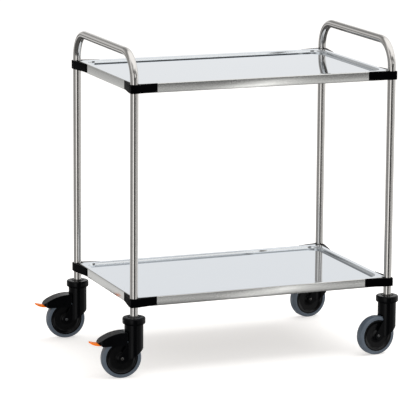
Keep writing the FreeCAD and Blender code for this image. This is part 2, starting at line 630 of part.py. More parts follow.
# ---------------------------------------------------------------- whole trolley
def trolley():
    """Every node's shape by name, in the row frame."""
    nodes = {}
    for side in ("left", "right"):
        nodes["hoop_" + side] = hoop(side)
    for level in SHELF_TOP_Z:
        nodes["shelf_" + level] = shelf(level)
        nodes["shelf_screws_" + level] = shelf_screws(level)
        for corner in CORNERS:
            nodes["bracket_" + level + "_" + corner] = corner_bracket(corner, level)
    for side in ("left", "right"):
        pieces = castor_parts(side)
        for corner, (sx, sy) in CORNERS.items():
            if side_of(corner) == side:
                for name, shape in pieces.items():
                    placed = shape.copy()
                    placed.rotate(Vec(0, 0, 0), Vec(0, 0, 1), SWIVEL_ANGLE[side])
                    placed.translate(Vec(sx * TUBE_SPACING_X / 2, sy * TUBE_SPACING_Y / 2, 0))
                    nodes[name + "_" + corner] = placed
    for shape in nodes.values():
        shape.translate(Vec(row_shift(), 0, 0))
    return nodes


def main():
    os.makedirs("parts", exist_ok=True)
    whole = FreeCAD.BoundBox()
    for name, shape in trolley().items():
        if not shape.isValid() or min(s.Volume for s in shape.Solids) <= 0:
            print("BAD", name)
        whole.add(shape.BoundBox)
        shape.exportStep("parts/" + name + ".step")
        print(name, len(shape.Solids), round(shape.Volume, 1))
    print("box", whole)


main()
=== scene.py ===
"""Stainless serving trolley: two bent tube hoops, two pressed trays, moulded corners, four swivel castors.

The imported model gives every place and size. Each class below builds one sub-assembly of the trolley.
"""
import json
import logging
import math
from dataclasses import dataclass, field
from enum import Enum
from typing import Callable, Optional, Sequence

import bmesh
import bpy
import numpy as np
from mathutils import Matrix, Vector

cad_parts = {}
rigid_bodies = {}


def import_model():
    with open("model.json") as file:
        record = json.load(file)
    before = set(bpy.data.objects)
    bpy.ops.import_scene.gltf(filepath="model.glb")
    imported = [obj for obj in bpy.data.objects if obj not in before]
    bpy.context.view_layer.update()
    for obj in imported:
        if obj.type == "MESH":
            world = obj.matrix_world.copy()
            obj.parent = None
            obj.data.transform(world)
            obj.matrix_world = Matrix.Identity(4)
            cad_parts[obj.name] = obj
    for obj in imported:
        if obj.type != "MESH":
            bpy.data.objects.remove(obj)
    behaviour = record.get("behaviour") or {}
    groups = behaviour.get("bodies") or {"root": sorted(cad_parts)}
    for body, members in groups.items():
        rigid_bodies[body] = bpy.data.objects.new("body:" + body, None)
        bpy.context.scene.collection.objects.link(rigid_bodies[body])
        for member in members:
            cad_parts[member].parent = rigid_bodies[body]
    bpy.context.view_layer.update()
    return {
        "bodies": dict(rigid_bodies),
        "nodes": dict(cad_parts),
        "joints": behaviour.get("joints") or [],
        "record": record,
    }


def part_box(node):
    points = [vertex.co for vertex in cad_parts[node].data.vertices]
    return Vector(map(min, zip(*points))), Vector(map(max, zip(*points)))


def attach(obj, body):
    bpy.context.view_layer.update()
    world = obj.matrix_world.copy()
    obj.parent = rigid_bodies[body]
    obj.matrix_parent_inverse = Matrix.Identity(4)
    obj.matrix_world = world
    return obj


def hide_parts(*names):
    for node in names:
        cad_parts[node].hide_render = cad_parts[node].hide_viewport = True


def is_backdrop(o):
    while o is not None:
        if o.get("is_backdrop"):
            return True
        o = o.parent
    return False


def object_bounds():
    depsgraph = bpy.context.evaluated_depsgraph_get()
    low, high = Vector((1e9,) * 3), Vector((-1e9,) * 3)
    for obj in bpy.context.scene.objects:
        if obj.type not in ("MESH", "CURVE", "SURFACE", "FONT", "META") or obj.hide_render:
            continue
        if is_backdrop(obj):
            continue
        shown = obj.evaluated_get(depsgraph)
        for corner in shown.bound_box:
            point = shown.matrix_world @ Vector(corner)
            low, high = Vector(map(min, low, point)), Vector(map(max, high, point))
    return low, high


MM = 0.001
# points nearer than this are one point, and shorter edges are dropped, in metres
SAME_POINT = 2e-6
EMPTY_EDGE = 1e-7
# least value of 1 + cos(a corner's turn) that an outline's offset is divided by
MITRE = 0.35
LOG = logging.getLogger("trolley")

Point2 = tuple[float, float]
Colour = tuple[float, float, float, float]


class Corner(Enum):
    """A corner of the trolley, with its direction along X and along Y."""

    FRONT_LEFT = ("front_left", -1, -1)
    BACK_LEFT = ("back_left", -1, 1)
    FRONT_RIGHT = ("front_right", 1, -1)
    BACK_RIGHT = ("back_right", 1, 1)

    @property
    def tag(self) -> str:
        """The corner's part of a node's name."""
        return self.value[0]

    @property
    def signs(self) -> tuple[int, int]:
        """Which way the corner lies from the middle, along X and along Y."""
        return self.value[1], self.value[2]

    @property
    def braked(self) -> bool:
        """Only the castors of the left end have a brake."""
        return self.value[1] < 0


class Level(Enum):
    """One of the two trays."""

    UPPER = "upper"
    LOWER = "lower"


# ------------------------------------------------------------------ outlines and surfaces
def arc_points(centre: Point2, radius: float, start: float, end: float, steps: int) -> np.ndarray:
    """Points of a circle: centre plus radius times (cos a, sin a), with a from start to end.

    Args:
        centre: The circle's centre.
        radius: Its radius.
        start: First angle in radians.
        end: Last angle in radians.
        steps: How many chords.

    Returns:
        An array of steps + 1 points.
    """
    angle = np.linspace(start, end, steps + 1)
    return np.stack([centre[0] + radius * np.cos(angle), centre[1] + radius * np.sin(angle)], axis=1)


def rounded(corners: Sequence[Point2], radii: Sequence[float], steps: int = 5,
            closed: bool = False) -> np.ndarray:
    """A polyline whose corners are arcs tangent to both neighbouring sides.

    Each arc's centre lies on the corner's bisector, at radius / sin(half the inner angle).

    Args:
        corners: The sharp corners.
        radii: One radius for each corner; 0 keeps it sharp.
        steps: Chords in each arc.
        closed: Whether the last corner joins the first.

    Returns:
        The points in order, without a repeated end.
    """
    pts = np.asarray(corners, float)
    count = len(pts)
    out = []
    for i, (here, radius) in enumerate(zip(pts, radii)):
        inner = closed or 0 < i < count - 1
        if not inner or radius <= 0:
            out.append(here[None])
            continue
        back = pts[i - 1] - here
        ahead = pts[(i + 1) % count] - here
        back /= np.linalg.norm(back)
        ahead /= np.linalg.norm(ahead)
        half = math.acos(float(np.clip(back @ ahead, -1, 1))) / 2
        bisector = back + ahead
        bisector /= np.linalg.norm(bisector)
        centre = here + bisector * radius / math.sin(half)
        first = back * radius / math.tan(half) + here - centre
        last = ahead * radius / math.tan(half) + here - centre
        start = math.atan2(first[1], first[0])
        turn = math.atan2(first[0] * last[1] - first[1] * last[0], float(first @ last))
        out.append(arc_points((centre[0], centre[1]), radius, start, start + turn, steps))
    return np.concatenate(out)


def length_along(points: np.ndarray) -> np.ndarray:
    """Distance travelled along a polyline at each of its points."""
    step = np.linalg.norm(np.diff(points, axis=0), axis=1)
    return np.concatenate([[0.0], np.cumsum(step)])


@dataclass
class Patch:
    """A surface over a grid of two parameters.

    Attributes:
        points: (rows, columns, 3) places in metres; its faces look along (next column) x (next row).
        uv: (rows, columns, 2) lengths in metres along the surface.
        polish: How bright the surface is polished, one value for each row, or None.
    """

    points: np.ndarray
    uv: np.ndarray
    polish: Optional[np.ndarray] = None

    def flipped(self) -> "Patch":
        """The same surface, looking the other way."""
        polish = None if self.polish is None else self.polish[::-1]
        return Patch(self.points[::-1], self.uv[::-1], polish)


def surface_object(name: str, patches: Sequence[Patch], sharp: float = 40.0) -> bpy.types.Object:
    """Puts patches into one mesh, closes their seams and poles, and links it as an object.

    Args:
        name: The piece's name.
        patches: The surfaces, which share edges where their points are equal.
        sharp: Edges that turn more than this many degrees stay crisp.

    Returns:
        The new object, at the origin.
    """
    verts, quads, uvs, polish = [], [], [], []
    base = 0
    for patch in patches:
        rows, cols = patch.points.shape[:2]
        index = base + np.arange(rows * cols).reshape(rows, cols)
        quad = np.stack([index[:-1, :-1], index[:-1, 1:], index[1:, 1:], index[1:, :-1]], axis=-1)
        verts.append(patch.points.reshape(-1, 3))
        quads.append(quad.reshape(-1, 4))
        uvs.append(patch.uv.reshape(-1, 2))
        row_polish = np.zeros(rows) if patch.polish is None else patch.polish
        polish.append(np.repeat(row_polish, cols))
        base += rows * cols
    co, faces = np.concatenate(verts), np.concatenate(quads)
    mesh = bpy.data.meshes.new(name)
    mesh.vertices.add(len(co))
    mesh.vertices.foreach_set("co", co.astype(np.float32).ravel())
    mesh.loops.add(faces.size)
    mesh.loops.foreach_set("vertex_index", faces.astype(np.int32).ravel())
    mesh.polygons.add(len(faces))
    mesh.polygons.foreach_set("loop_start", np.arange(0, faces.size, 4, dtype=np.int32))
    mesh.update(calc_edges=True)
    layer = mesh.uv_layers.new(name="Lengths")
    layer.data.foreach_set("uv", np.concatenate(uvs)[faces.ravel()].astype(np.float32).ravel())
    mark = mesh.attributes.new("polish", "FLOAT", "POINT")
    mark.data.foreach_set("value", np.concatenate(polish).astype(np.float32))
    finish_mesh(mesh, sharp)
    obj = bpy.data.objects.new(name, mesh)
    bpy.context.scene.collection.objects.link(obj)
    return obj


def finish_mesh(mesh: bpy.types.Mesh, sharp: float) -> None:
    """Merges equal points, drops empty faces and shades smooth with crisp edges.

    Args:
        mesh: The mesh to finish in place.
        sharp: Edges that turn more than this many degrees stay crisp.
    """
    work = bmesh.new()
    work.from_mesh(mesh)
    bmesh.ops.remove_doubles(work, verts=work.verts, dist=SAME_POINT)
    bmesh.ops.dissolve_degenerate(work, edges=work.edges, dist=EMPTY_EDGE)
    work.to_mesh(mesh)
    work.free()
    mesh.polygons.foreach_set("use_smooth", np.ones(len(mesh.polygons), bool))
    mesh.set_sharp_from_angle(angle=math.radians(sharp))
    mesh.update()


def revolve(profile: np.ndarray, place: Callable[[np.ndarray], np.ndarray], around: int = 96) -> Patch:
    """A profile turned about an axis: (r, h) becomes (r cos a, r sin a, h).

    Args:
        profile: (radius, height) points in metres, with the outside on the right of the way they run.
        place: Moves local points, whose axis is Z, to their place.
        around: Steps in the full turn.

    Returns:
        The surface, closed round the axis.
    """
    angle = np.linspace(0.0, 2 * math.pi, around + 1)
    radius, height = profile[:, 0][:, None], profile[:, 1][:, None]
    local = np.stack([radius * np.cos(angle), radius * np.sin(angle), height + 0 * angle], axis=-1)
    run = length_along(profile)
    uv = np.stack(np.broadcast_arrays(angle[None] * profile[:, 0].max(), run[:, None]), axis=-1)
    return Patch(place(local), uv)


def prism(outline: np.ndarray, low: float, high: float, edge: float, core: Optional[float],
          place: Callable[[np.ndarray], np.ndarray], bend: int = 3) -> Patch:
    """An upright block with rounded top and bottom edges, solid or with a round bore about its origin.

    Row by row, the outline is drawn in along its own normals by edge (1 - sin a) while it rises by
    edge (1 - cos a), and the flat ends run from it to the bore or to the outline's middle. A corner's
    normal is lengthened so that both its sides move in equally, though never by more than MITRE allows.

    Args:
        outline: Plan points, anticlockwise.
        low: Height of the underside.
        high: Height of the top.
        edge: Radius of the top and bottom edges.
        core: The bore's radius, or None for a solid block.
        place: Moves local points to their place.
        bend: Steps round each edge.

    Returns:
        The block's surface in one closed patch.
    """
    loop = np.vstack([outline, outline[:1]])
    step = np.diff(loop, axis=0)
    step /= np.maximum(np.linalg.norm(step, axis=1), 1e-12)[:, None]
    before = np.roll(step, 1, axis=0)
    normal = np.stack([step[:, 1] + before[:, 1], -step[:, 0] - before[:, 0]], axis=1)
    normal /= np.maximum(0.5 * (normal ** 2).sum(axis=1), MITRE)[:, None]
    normal = np.vstack([normal, normal[:1]])
    turn = np.linspace(0.0, math.pi / 2, bend + 1)
    rise = np.concatenate([low + edge * (1 - np.cos(turn)), high - edge * (1 - np.sin(turn))])
    draw = np.concatenate([edge * (1 - np.sin(turn)), edge * (1 - np.cos(turn))])
    if core is None:
        middle = np.broadcast_to(outline.mean(axis=0), loop.shape)
        rows = [middle] + [loop - normal * d for d in draw] + [middle]
        rise = np.concatenate([[low], rise, [high]])
    else:
        angle = np.arctan2(loop[:, 1], loop[:, 0])
        ring = np.stack([np.cos(angle), np.sin(angle)], axis=1)
        rows = [ring * core, ring * (core + edge)] + [loop - normal * d for d in draw]
        rows += [ring * (core + edge), ring * core, ring * core]
        rise = np.concatenate([[low + edge, low], rise, [high, high - edge, low + edge]])
    flat = np.stack(rows)
    local = np.concatenate([flat, np.broadcast_to(rise[:, None, None], flat.shape[:2] + (1,))], axis=-1)
    across = length_along(loop)
    uv = np.stack(np.broadcast_arrays(across[None], rise[:, None]), axis=-1)
    return Patch(place(local), uv)


# ------------------------------------------------------------------ shader node helpers
class NodeTree:
    """Short calls that add and join nodes in one shader tree."""

    def __init__(self, tree: bpy.types.NodeTree) -> None:
        """Keeps the tree."""
        self.tree = tree

    def add(self, kind: str, inputs: Optional[dict] = None, **settings) -> bpy.types.Node:
        """Adds a node.

        Args:
            kind: The node's type without its ShaderNode prefix.
            inputs: Socket name or number to a value, or to a socket that feeds it.
            settings: The node's own properties.

        Returns:
            The node.
        """
        node = self.tree.nodes.new("ShaderNode" + kind)
        for name, value in settings.items():
            setattr(node, name, value)
        for key, value in (inputs or {}).items():
            if isinstance(value, bpy.types.NodeSocket):
                self.tree.links.new(value, node.inputs[key])
            else:
                node.inputs[key].default_value = value
        return node

    def math(self, operation: str, first: object, second: object = 0.0) -> bpy.types.NodeSocket:
        """The result of a Math node on two numbers or sockets."""
        return self.add("Math", {0: first, 1: second}, operation=operation).outputs[0]

    def mix_colour(self, factor: object, first: object, second: object) -> bpy.types.NodeSocket:
        """A blend of two colours by factor."""
        node = self.add("Mix", {0: factor, 6: first, 7: second}, data_type="RGBA")
        return node.outputs[2]

    def ramp(self, factor: object, stops: Sequence[tuple[float, float]]) -> bpy.types.NodeSocket:
        """A grey ramp through (position, value) stops."""
        node = self.add("ValToRGB", {0: factor})
        elements = node.color_ramp.elements
        while len(elements) < len(stops):
            elements.new(0.5)
        for element, (position, value) in zip(elements, stops):
            element.position = position
            element.color = (value, value, value, 1.0)
        return node.outputs[0]


def group_tree(name: str, inputs: Sequence[tuple[str, str, float]], outputs: Sequence[tuple[str, str]]) \
        -> tuple[bpy.types.NodeTree, NodeTree, bpy.types.Node, bpy.types.Node]:
    """An empty shader group with named sockets.

    Args:
        name: The group's name.
        inputs: (name, kind, default) of each input.
        outputs: (name, kind) of each output.

    Returns:
        The group, its helper, and its input and output nodes.
    """
    tree = bpy.data.node_groups.new(name, "ShaderNodeTree")
    for label, kind, default in inputs:
        socket = tree.interface.new_socket(label, in_out="INPUT", socket_type="NodeSocket" + kind)
        if kind == "Float":
            socket.default_value = default
    for label, kind in outputs:
        tree.interface.new_socket(label, in_out="OUTPUT", socket_type="NodeSocket" + kind)
    helper = NodeTree(tree)
    return tree, helper, tree.nodes.new("NodeGroupInput"), tree.nodes.new("NodeGroupOutput")


class Effects:
    """The shader groups that several finishes share, built once."""

    def __init__(self) -> None:
        """Builds the groups."""
        self.grinding = self._grinding()
        self.grain = self._grain()
        self.handling = self._handling()

    @staticmethod
    def _grinding() -> bpy.types.NodeTree:
        """Fine parallel grinding marks: noise stretched along U, as a height and a mask of deeper marks."""
        tree, make, source, sink = group_tree(
            "grinding_marks",
            [("UV", "Vector", 0.0), ("Marks per metre", "Float", 2400.0), ("Length", "Float", 0.05)],
            [("Height", "Float"), ("Deep", "Float")])
        split = make.add("SeparateXYZ", {0: source.outputs["UV"]})
        along = make.math("DIVIDE", split.outputs[0], source.outputs["Length"])
        across = make.math("MULTIPLY", split.outputs[1], source.outputs["Marks per metre"])
        vector = make.add("CombineXYZ", {0: along, 1: across})
        fine = make.add("TexNoise", {"Vector": vector.outputs[0], "Scale": 1.0, "Detail": 3.0,
                                     "Roughness": 0.6})
        wide = make.add("TexNoise", {"Vector": vector.outputs[0], "Scale": 0.11, "Detail": 2.0})
        height = make.math("ADD", fine.outputs[0], make.math("MULTIPLY", wide.outputs[0], 0.7))
        deep = make.ramp(wide.outputs[0], [(0.35, 0.0), (0.75, 1.0)])
        tree.links.new(height, sink.inputs["Height"])
        tree.links.new(deep, sink.inputs["Deep"])
        return tree

    @staticmethod
    def _grain() -> bpy.types.NodeTree:
        """Spark-eroded mould grain: two noises on object coordinates, as a height and a soft mottle."""
        tree, make, source, sink = group_tree(
            "mould_grain", [("Coordinates", "Vector", 0.0), ("Grains per metre", "Float", 1400.0)],
            [("Height", "Float"), ("Mottle", "Float")])
        fine = make.add("TexNoise", {"Vector": source.outputs["Coordinates"],
                                     "Scale": source.outputs["Grains per metre"], "Detail": 2.0})
        soft = make.add("TexNoise", {"Vector": source.outputs["Coordinates"], "Scale": 28.0, "Detail": 4.0})
        tree.links.new(fine.outputs[0], sink.inputs["Height"])
        tree.links.new(make.ramp(soft.outputs[0], [(0.3, 0.0), (0.7, 1.0)]), sink.inputs["Mottle"])
        return tree

    @staticmethod
    def _handling() -> bpy.types.NodeTree:
        """Marks of use: faint wipe smears, and dust that settles on faces that look up."""
        tree, make, source, sink = group_tree(
            "handling", [("Coordinates", "Vector", 0.0), ("Smears per metre", "Float", 7.0)],
            [("Smear", "Float"), ("Dust", "Float")])
        smear = make.add("TexNoise", {"Vector": source.outputs["Coordinates"],
                                      "Scale": source.outputs["Smears per metre"],
                                      "Detail": 5.0, "Roughness": 0.55, "Distortion": 0.8})
        patchy = make.add("TexNoise", {"Vector": source.outputs["Coordinates"], "Scale": 60.0, "Detail": 3.0})
        normal = make.add("SeparateXYZ", {0: make.add("NewGeometry").outputs["Normal"]})
        upward = make.math("MAXIMUM", normal.outputs[2], 0.0)
        dust = make.math("MULTIPLY", upward, make.ramp(patchy.outputs[0], [(0.4, 0.0), (0.8, 1.0)]))
        tree.links.new(make.ramp(smear.outputs[0], [(0.38, 0.0), (0.66, 1.0)]), sink.inputs["Smear"])
        tree.links.new(dust, sink.inputs["Dust"])
        return tree


# ------------------------------------------------------------------ finishes
@dataclass(frozen=True)
class Finish:
    """What every finish has: the record's slot and a way to build its material."""

    slot: str

    def start(self) -> tuple[bpy.types.Material, NodeTree, bpy.types.Node, bpy.types.Node]:
        """A new material with a Principled shader.

        Returns:
            The material, its helper, the shader and the texture coordinates.
        """
        material = bpy.data.materials.new(self.slot)
        material.use_nodes = True
        make = NodeTree(material.node_tree)
        shader = material.node_tree.nodes["Principled BSDF"]
        return material, make, shader, make.add("TexCoord")

    def build(self, effects: Effects) -> bpy.types.Material:
        """The finish's material."""
        raise NotImplementedError


@dataclass(frozen=True)
class GroundSteel(Finish):
    """Stainless steel, ground along U; where polish is 1 it is a buffed mirror.

    Attributes:
        colour: Colour of the ground surface.
        bright: Colour of the buffed surface.
        roughness: Roughness of the ground surface.
        mirror: Roughness of the buffed surface.
        spread: How much wider the gloss is across the marks than along them, from 0 to 1.
        marks: Grinding marks for each metre.
        stroke: Length of a mark in metres.
        depth: Bump distance of the marks in metres.
        wave: Bump distance of the buffed sheet's slow waves in metres.
        dulled: Share of its brightness that a deep mark keeps.
        scored: How much rougher a deep mark is.
        smeared: How much rougher a wiped smear is.
        across: Turns from the marks' direction to the gloss's long axis.
    """

    colour: Colour
    bright: Colour
    roughness: float
    mirror: float
    spread: float
    marks: float
    stroke: float
    depth: float
    wave: float
    dulled: float = 0.86
    scored: float = 0.03
    smeared: float = 0.015
    across: float = 0.25

    def build(self, effects: Effects) -> bpy.types.Material:
        """The finish's material."""
        material, make, shader, coords = self.start()
        polish = make.add("Attribute", attribute_name="polish").outputs["Fac"]
        marks = make.add("Group", {}, node_tree=effects.grinding)
        make.tree.links.new(coords.outputs["UV"], marks.inputs["UV"])
        marks.inputs["Marks per metre"].default_value = self.marks
        marks.inputs["Length"].default_value = self.stroke
        handling = make.add("Group", {}, node_tree=effects.handling)
        make.tree.links.new(coords.outputs["Object"], handling.inputs["Coordinates"])
        dull = tuple(c * self.dulled for c in self.colour[:3]) + (1.0,)
        ground = make.mix_colour(make.math("MULTIPLY", marks.outputs["Deep"], 0.5), self.colour, dull)
        colour = make.mix_colour(polish, ground, self.bright)
        scoring = make.math("MULTIPLY", marks.outputs["Deep"], self.scored)
        rough_ground = make.math("ADD", scoring, self.roughness)
        rough_smear = make.math("MULTIPLY", handling.outputs["Smear"], self.smeared)
        rough = make.add("Mix", {0: polish, 2: rough_ground, 3: self.mirror}, data_type="FLOAT").outputs[0]
        rough = make.math("ADD", rough, rough_smear)
        flat = make.math("SUBTRACT", 1.0, polish)
        lines = make.math("MULTIPLY", marks.outputs["Height"], make.math("MULTIPLY", flat, self.depth))
        slow = make.add("TexNoise", {"Vector": coords.outputs["Object"], "Scale": 5.0, "Detail": 1.0})
        waves = make.math("MULTIPLY", slow.outputs[0], make.math("MULTIPLY", polish, self.wave))
        bump = make.add("Bump", {"Height": make.math("ADD", lines, waves), "Distance": 1.0, "Strength": 1.0})
        links = make.tree.links
        links.new(colour, shader.inputs["Base Color"])
        links.new(rough, shader.inputs["Roughness"])
        links.new(bump.outputs[0], shader.inputs["Normal"])
        tangent = make.add("Tangent", direction_type="UV_MAP", uv_map="Lengths")
        links.new(tangent.outputs[0], shader.inputs["Tangent"])
        shader.inputs["Anisotropic"].default_value = self.spread
        shader.inputs["Anisotropic Rotation"].default_value = self.across
        shader.inputs["Metallic"].default_value = 1.0
        return material


@dataclass(frozen=True)
class Moulded(Finish):
    """Moulded plastic or rubber with mould grain, faint mottle and a little dust.

    Attributes:
        colour: The pigment.
        dusty: Colour where dust lies.
        roughness: Mean roughness.
        grains: Grains of the mould's texture for each metre.
        depth: Bump distance of the grain in metres.
        dust: Share of dust on faces that look up.
        gloss: How strongly the surface mirrors what it faces.
        mottle: How much brighter the pale patches are.
        haze: Brightness that the pale patches gain however dark the pigment is.
        smears: Smears for each metre.
        smeared: How much rougher a smear is.
    """

    colour: Colour
    dusty: Colour
    roughness: float
    grains: float
    depth: float
    dust: float
    gloss: float
    mottle: float = 1.25
    haze: float = 0.0002
    smears: float = 22.0
    smeared: float = 0.07

    def build(self, effects: Effects) -> bpy.types.Material:
        """The finish's material."""
        material, make, shader, coords = self.start()
        grain = make.add("Group", {}, node_tree=effects.grain)
        handling = make.add("Group", {}, node_tree=effects.handling)
        for group in (grain, handling):
            make.tree.links.new(coords.outputs["Object"], group.inputs["Coordinates"])
        grain.inputs["Grains per metre"].default_value = self.grains
        handling.inputs["Smears per metre"].default_value = self.smears
        lighter = tuple(min(1.0, c * self.mottle + self.haze) for c in self.colour[:3]) + (1.0,)
        body = make.mix_colour(grain.outputs["Mottle"], self.colour, lighter)
        colour = make.mix_colour(make.math("MULTIPLY", handling.outputs["Dust"], self.dust), body, self.dusty)
        smears = make.math("MULTIPLY", handling.outputs["Smear"], self.smeared)
        rough = make.math("ADD", smears, self.roughness)
        bump = make.add("Bump", {"Height": make.math("MULTIPLY", grain.outputs["Height"], self.depth),
                                 "Distance": 1.0, "Strength": 1.0})
        links = make.tree.links
        links.new(colour, shader.inputs["Base Color"])
        links.new(rough, shader.inputs["Roughness"])
        links.new(bump.outputs[0], shader.inputs["Normal"])
        shader.inputs["Specular IOR Level"].default_value = self.gloss
        return material


@dataclass(frozen=True)
class Zinc(Finish):
    """Bright zinc plate with faint drifting colour.

    Attributes:
        colour: Mean colour.
        warm: Colour of the passivated patches.
        roughness: Mean roughness.
        grains: Grains of the plating for each metre.
        uneven: How much the roughness varies over the grain.
    """

    colour: Colour
    warm: Colour
    roughness: float
    grains: float = 900.0
    uneven: float = 0.1

    def build(self, effects: Effects) -> bpy.types.Material:
        """The finish's material."""
        material, make, shader, coords = self.start()
        grain = make.add("Group", {}, node_tree=effects.grain)
        make.tree.links.new(coords.outputs["Object"], grain.inputs["Coordinates"])
        grain.inputs["Grains per metre"].default_value = self.grains
        colour = make.mix_colour(grain.outputs["Mottle"], self.colour, self.warm)
        rough = make.math("ADD", make.math("MULTIPLY", grain.outputs["Height"], self.uneven), self.roughness)
        make.tree.links.new(colour, shader.inputs["Base Color"])
        make.tree.links.new(rough, shader.inputs["Roughness"])
        shader.inputs["Metallic"].default_value = 1.0
        return material


FINISHES: tuple[Finish, ...] = (
    GroundSteel("stainless_tube", colour=(0.64, 0.62, 0.595, 1), bright=(0.7, 0.7, 0.7, 1),
                roughness=0.1, mirror=0.06, spread=0.8, marks=2600, stroke=20 * MM, depth=2e-7, wave=0.0),
    GroundSteel("stainless_sheet", colour=(0.64, 0.64, 0.62, 1), bright=(0.665, 0.705, 0.75, 1),
                roughness=0.1, mirror=0.02, spread=0.9, marks=2200, stroke=90 * MM, depth=1.5e-7, wave=2e-5),
    Moulded("bracket_plastic", colour=(0.0004, 0.0004, 0.0007, 1), dusty=(0.012, 0.012, 0.012, 1),
            roughness=0.4, grains=1500, depth=8e-6, dust=0.04, gloss=0.02),
    Moulded("castor_plastic", colour=(0.0005, 0.0006, 0.0009, 1), dusty=(0.012, 0.012, 0.014, 1),
            roughness=0.2, grains=1200, depth=3e-6, dust=0.04, gloss=0.12),
    Moulded("wheel_plastic", colour=(0.001, 0.0011, 0.0013, 1), dusty=(0.012, 0.012, 0.014, 1),
            roughness=0.2, grains=1100, depth=3e-6, dust=0.05, gloss=0.25),
    Moulded("grey_tread", colour=(0.072, 0.09, 0.113, 1), dusty=(0.1, 0.11, 0.13, 1),
            roughness=0.3, grains=1700, depth=5e-6, dust=0.15, gloss=0.45),
    Moulded("signal_orange", colour=(0.8, 0.17, 0.006, 1), dusty=(0.7, 0.26, 0.06, 1),
            roughness=0.34, grains=900, depth=4e-6, dust=0.1, gloss=0.15),
    Moulded("shoe_rubber", colour=(0.01, 0.01, 0.01, 1), dusty=(0.04, 0.04, 0.04, 1),
            roughness=0.7, grains=1300, depth=2e-5, dust=0.3, gloss=0.2),
    Moulded("expander_nylon", colour=(0.02, 0.02, 0.022, 1), dusty=(0.06, 0.06, 0.06, 1),
            roughness=0.45, grains=1000, depth=1e-5, dust=0.1, gloss=0.3),
    Zinc("zinc_steel", colour=(0.13, 0.135, 0.145, 1), warm=(0.15, 0.14, 0.125, 1), roughness=0.34),
)


class Paintbox:
    """Every material by its slot, and the way pieces get theirs."""

    def __init__(self) -> None:
        """Builds the shared groups and the materials."""
        effects = Effects()
        self.materials = {finish.slot: finish.build(effects) for finish in FINISHES}

    def dress(self, obj: bpy.types.Object, slot: str) -> None:
        """Gives the whole object one finish."""
        obj.data.materials.clear()
        obj.data.materials.append(self.materials[slot])

    def dress_nodes(self, frame: dict) -> None:
        """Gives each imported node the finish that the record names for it."""
        for part in frame["record"]["subparts"]:
            obj = frame["nodes"][part["node"]]
            for place in obj.material_slots:
                place.material = self.materials[part["material_slot"]]
            if not obj.material_slots:
                obj.data.materials.append(self.materials[part["material_slot"]])


@dataclass
class Piece:
    """A finished visible piece and what it stands for.

    Attributes:
        obj: The Blender object.
        body: The body it rides on.
        slot: Its finish.
        stands_for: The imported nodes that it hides.
    """

    obj: bpy.types.Object
    body: str
    slot: str
    stands_for: Sequence[str] = field(default_factory=tuple)


# ------------------------------------------------------------------ sub-assemblies
@dataclass
class Hoop:
    """One bent tube: leg, bend, level grip, bend, leg.

    Attributes:
        side: "left" or "right".
        bend: Radius of the tube's axis in the bends.
        wall: Thickness of the tube.
        around: Steps round the tube.
        leg_steps: Points along a leg.
        bend_steps: Steps round a bend.
        grip_steps: Steps along half the grip.
    """

    side: str
    bend: float = 80.0 * MM
    wall: float = 1.5 * MM
    around: int = 72
    leg_steps: int = 24
    bend_steps: int = 28
    grip_steps: int = 13

    def path(self, low: Vector, high: Vector, radius: float) -> np.ndarray:
        """The tube's axis in the YZ plane: straight runs joined by quarter circles.

        Args:
            low: The node's lowest corner.
            high: Its highest corner.
            radius: The tube's outer radius.

        Returns:
            (y, z) points from the front foot to the back foot.
        """
        half = (high.y - low.y) / 2 - radius
        top = high.z - radius
        steps = self.leg_steps
        leg = np.stack([np.full(steps, -half), np.linspace(low.z, top - self.bend, steps)], axis=1)
        hub = (-half + self.bend, top - self.bend)
        bend = arc_points(hub, self.bend, math.pi, math.pi / 2, self.bend_steps)
        along = np.linspace(hub[0], 0.0, self.grip_steps + 1)[1:]
        grip = np.stack([along, np.full(len(along), top)], axis=1)
        front = np.concatenate([leg, bend[1:], grip])
        back = front[-2::-1] * np.array([-1.0, 1.0])
        return np.concatenate([front, back])

    def build(self) -> bpy.types.Object:
        """Carries a circle along the axis, out along the outside and back along the bore.

        Returns:
            The tube as one closed surface.
        """
        low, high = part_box("hoop_" + self.side)
        radius = (high.x - low.x) / 2
        path = self.path(low, high, radius)
        centre_x, centre_y = (low.x + high.x) / 2, (low.y + high.y) / 2
        tangent = np.gradient(path, axis=0)
        tangent /= np.linalg.norm(tangent, axis=1)[:, None]
        normal = np.stack([-tangent[:, 1], tangent[:, 0]], axis=1)
        angle = np.linspace(0.0, 2 * math.pi, self.around + 1)
        run = length_along(path)

        def skin(size: float, order: slice) -> tuple[np.ndarray, np.ndarray]:
            """Points and lengths of a tube of this radius."""
            y = path[order, 0, None] + size * normal[order, 0, None] * np.cos(angle)
            z = path[order, 1, None] + size * normal[order, 1, None] * np.cos(angle)
            x = np.broadcast_to(size * np.sin(angle), y.shape)
            uv = np.stack(np.broadcast_arrays(angle * radius, run[order, None]), axis=-1)
            return np.stack([centre_x + x, centre_y + y, z], axis=-1), uv

        outer, outer_uv = skin(radius, slice(None))
        inner, inner_uv = skin(radius - self.wall, slice(None, None, -1))
        points = np.concatenate([outer, inner, outer[:1]])
        uv = np.concatenate([outer_uv, inner_uv, outer_uv[:1]])
        return surface_object("tube_hoop_" + self.side, [Patch(points, uv)])

    def piece(self) -> Piece:
        """The hoop as a finished piece."""
        return Piece(self.build(), "frame", "stainless_tube", ("hoop_" + self.side,))


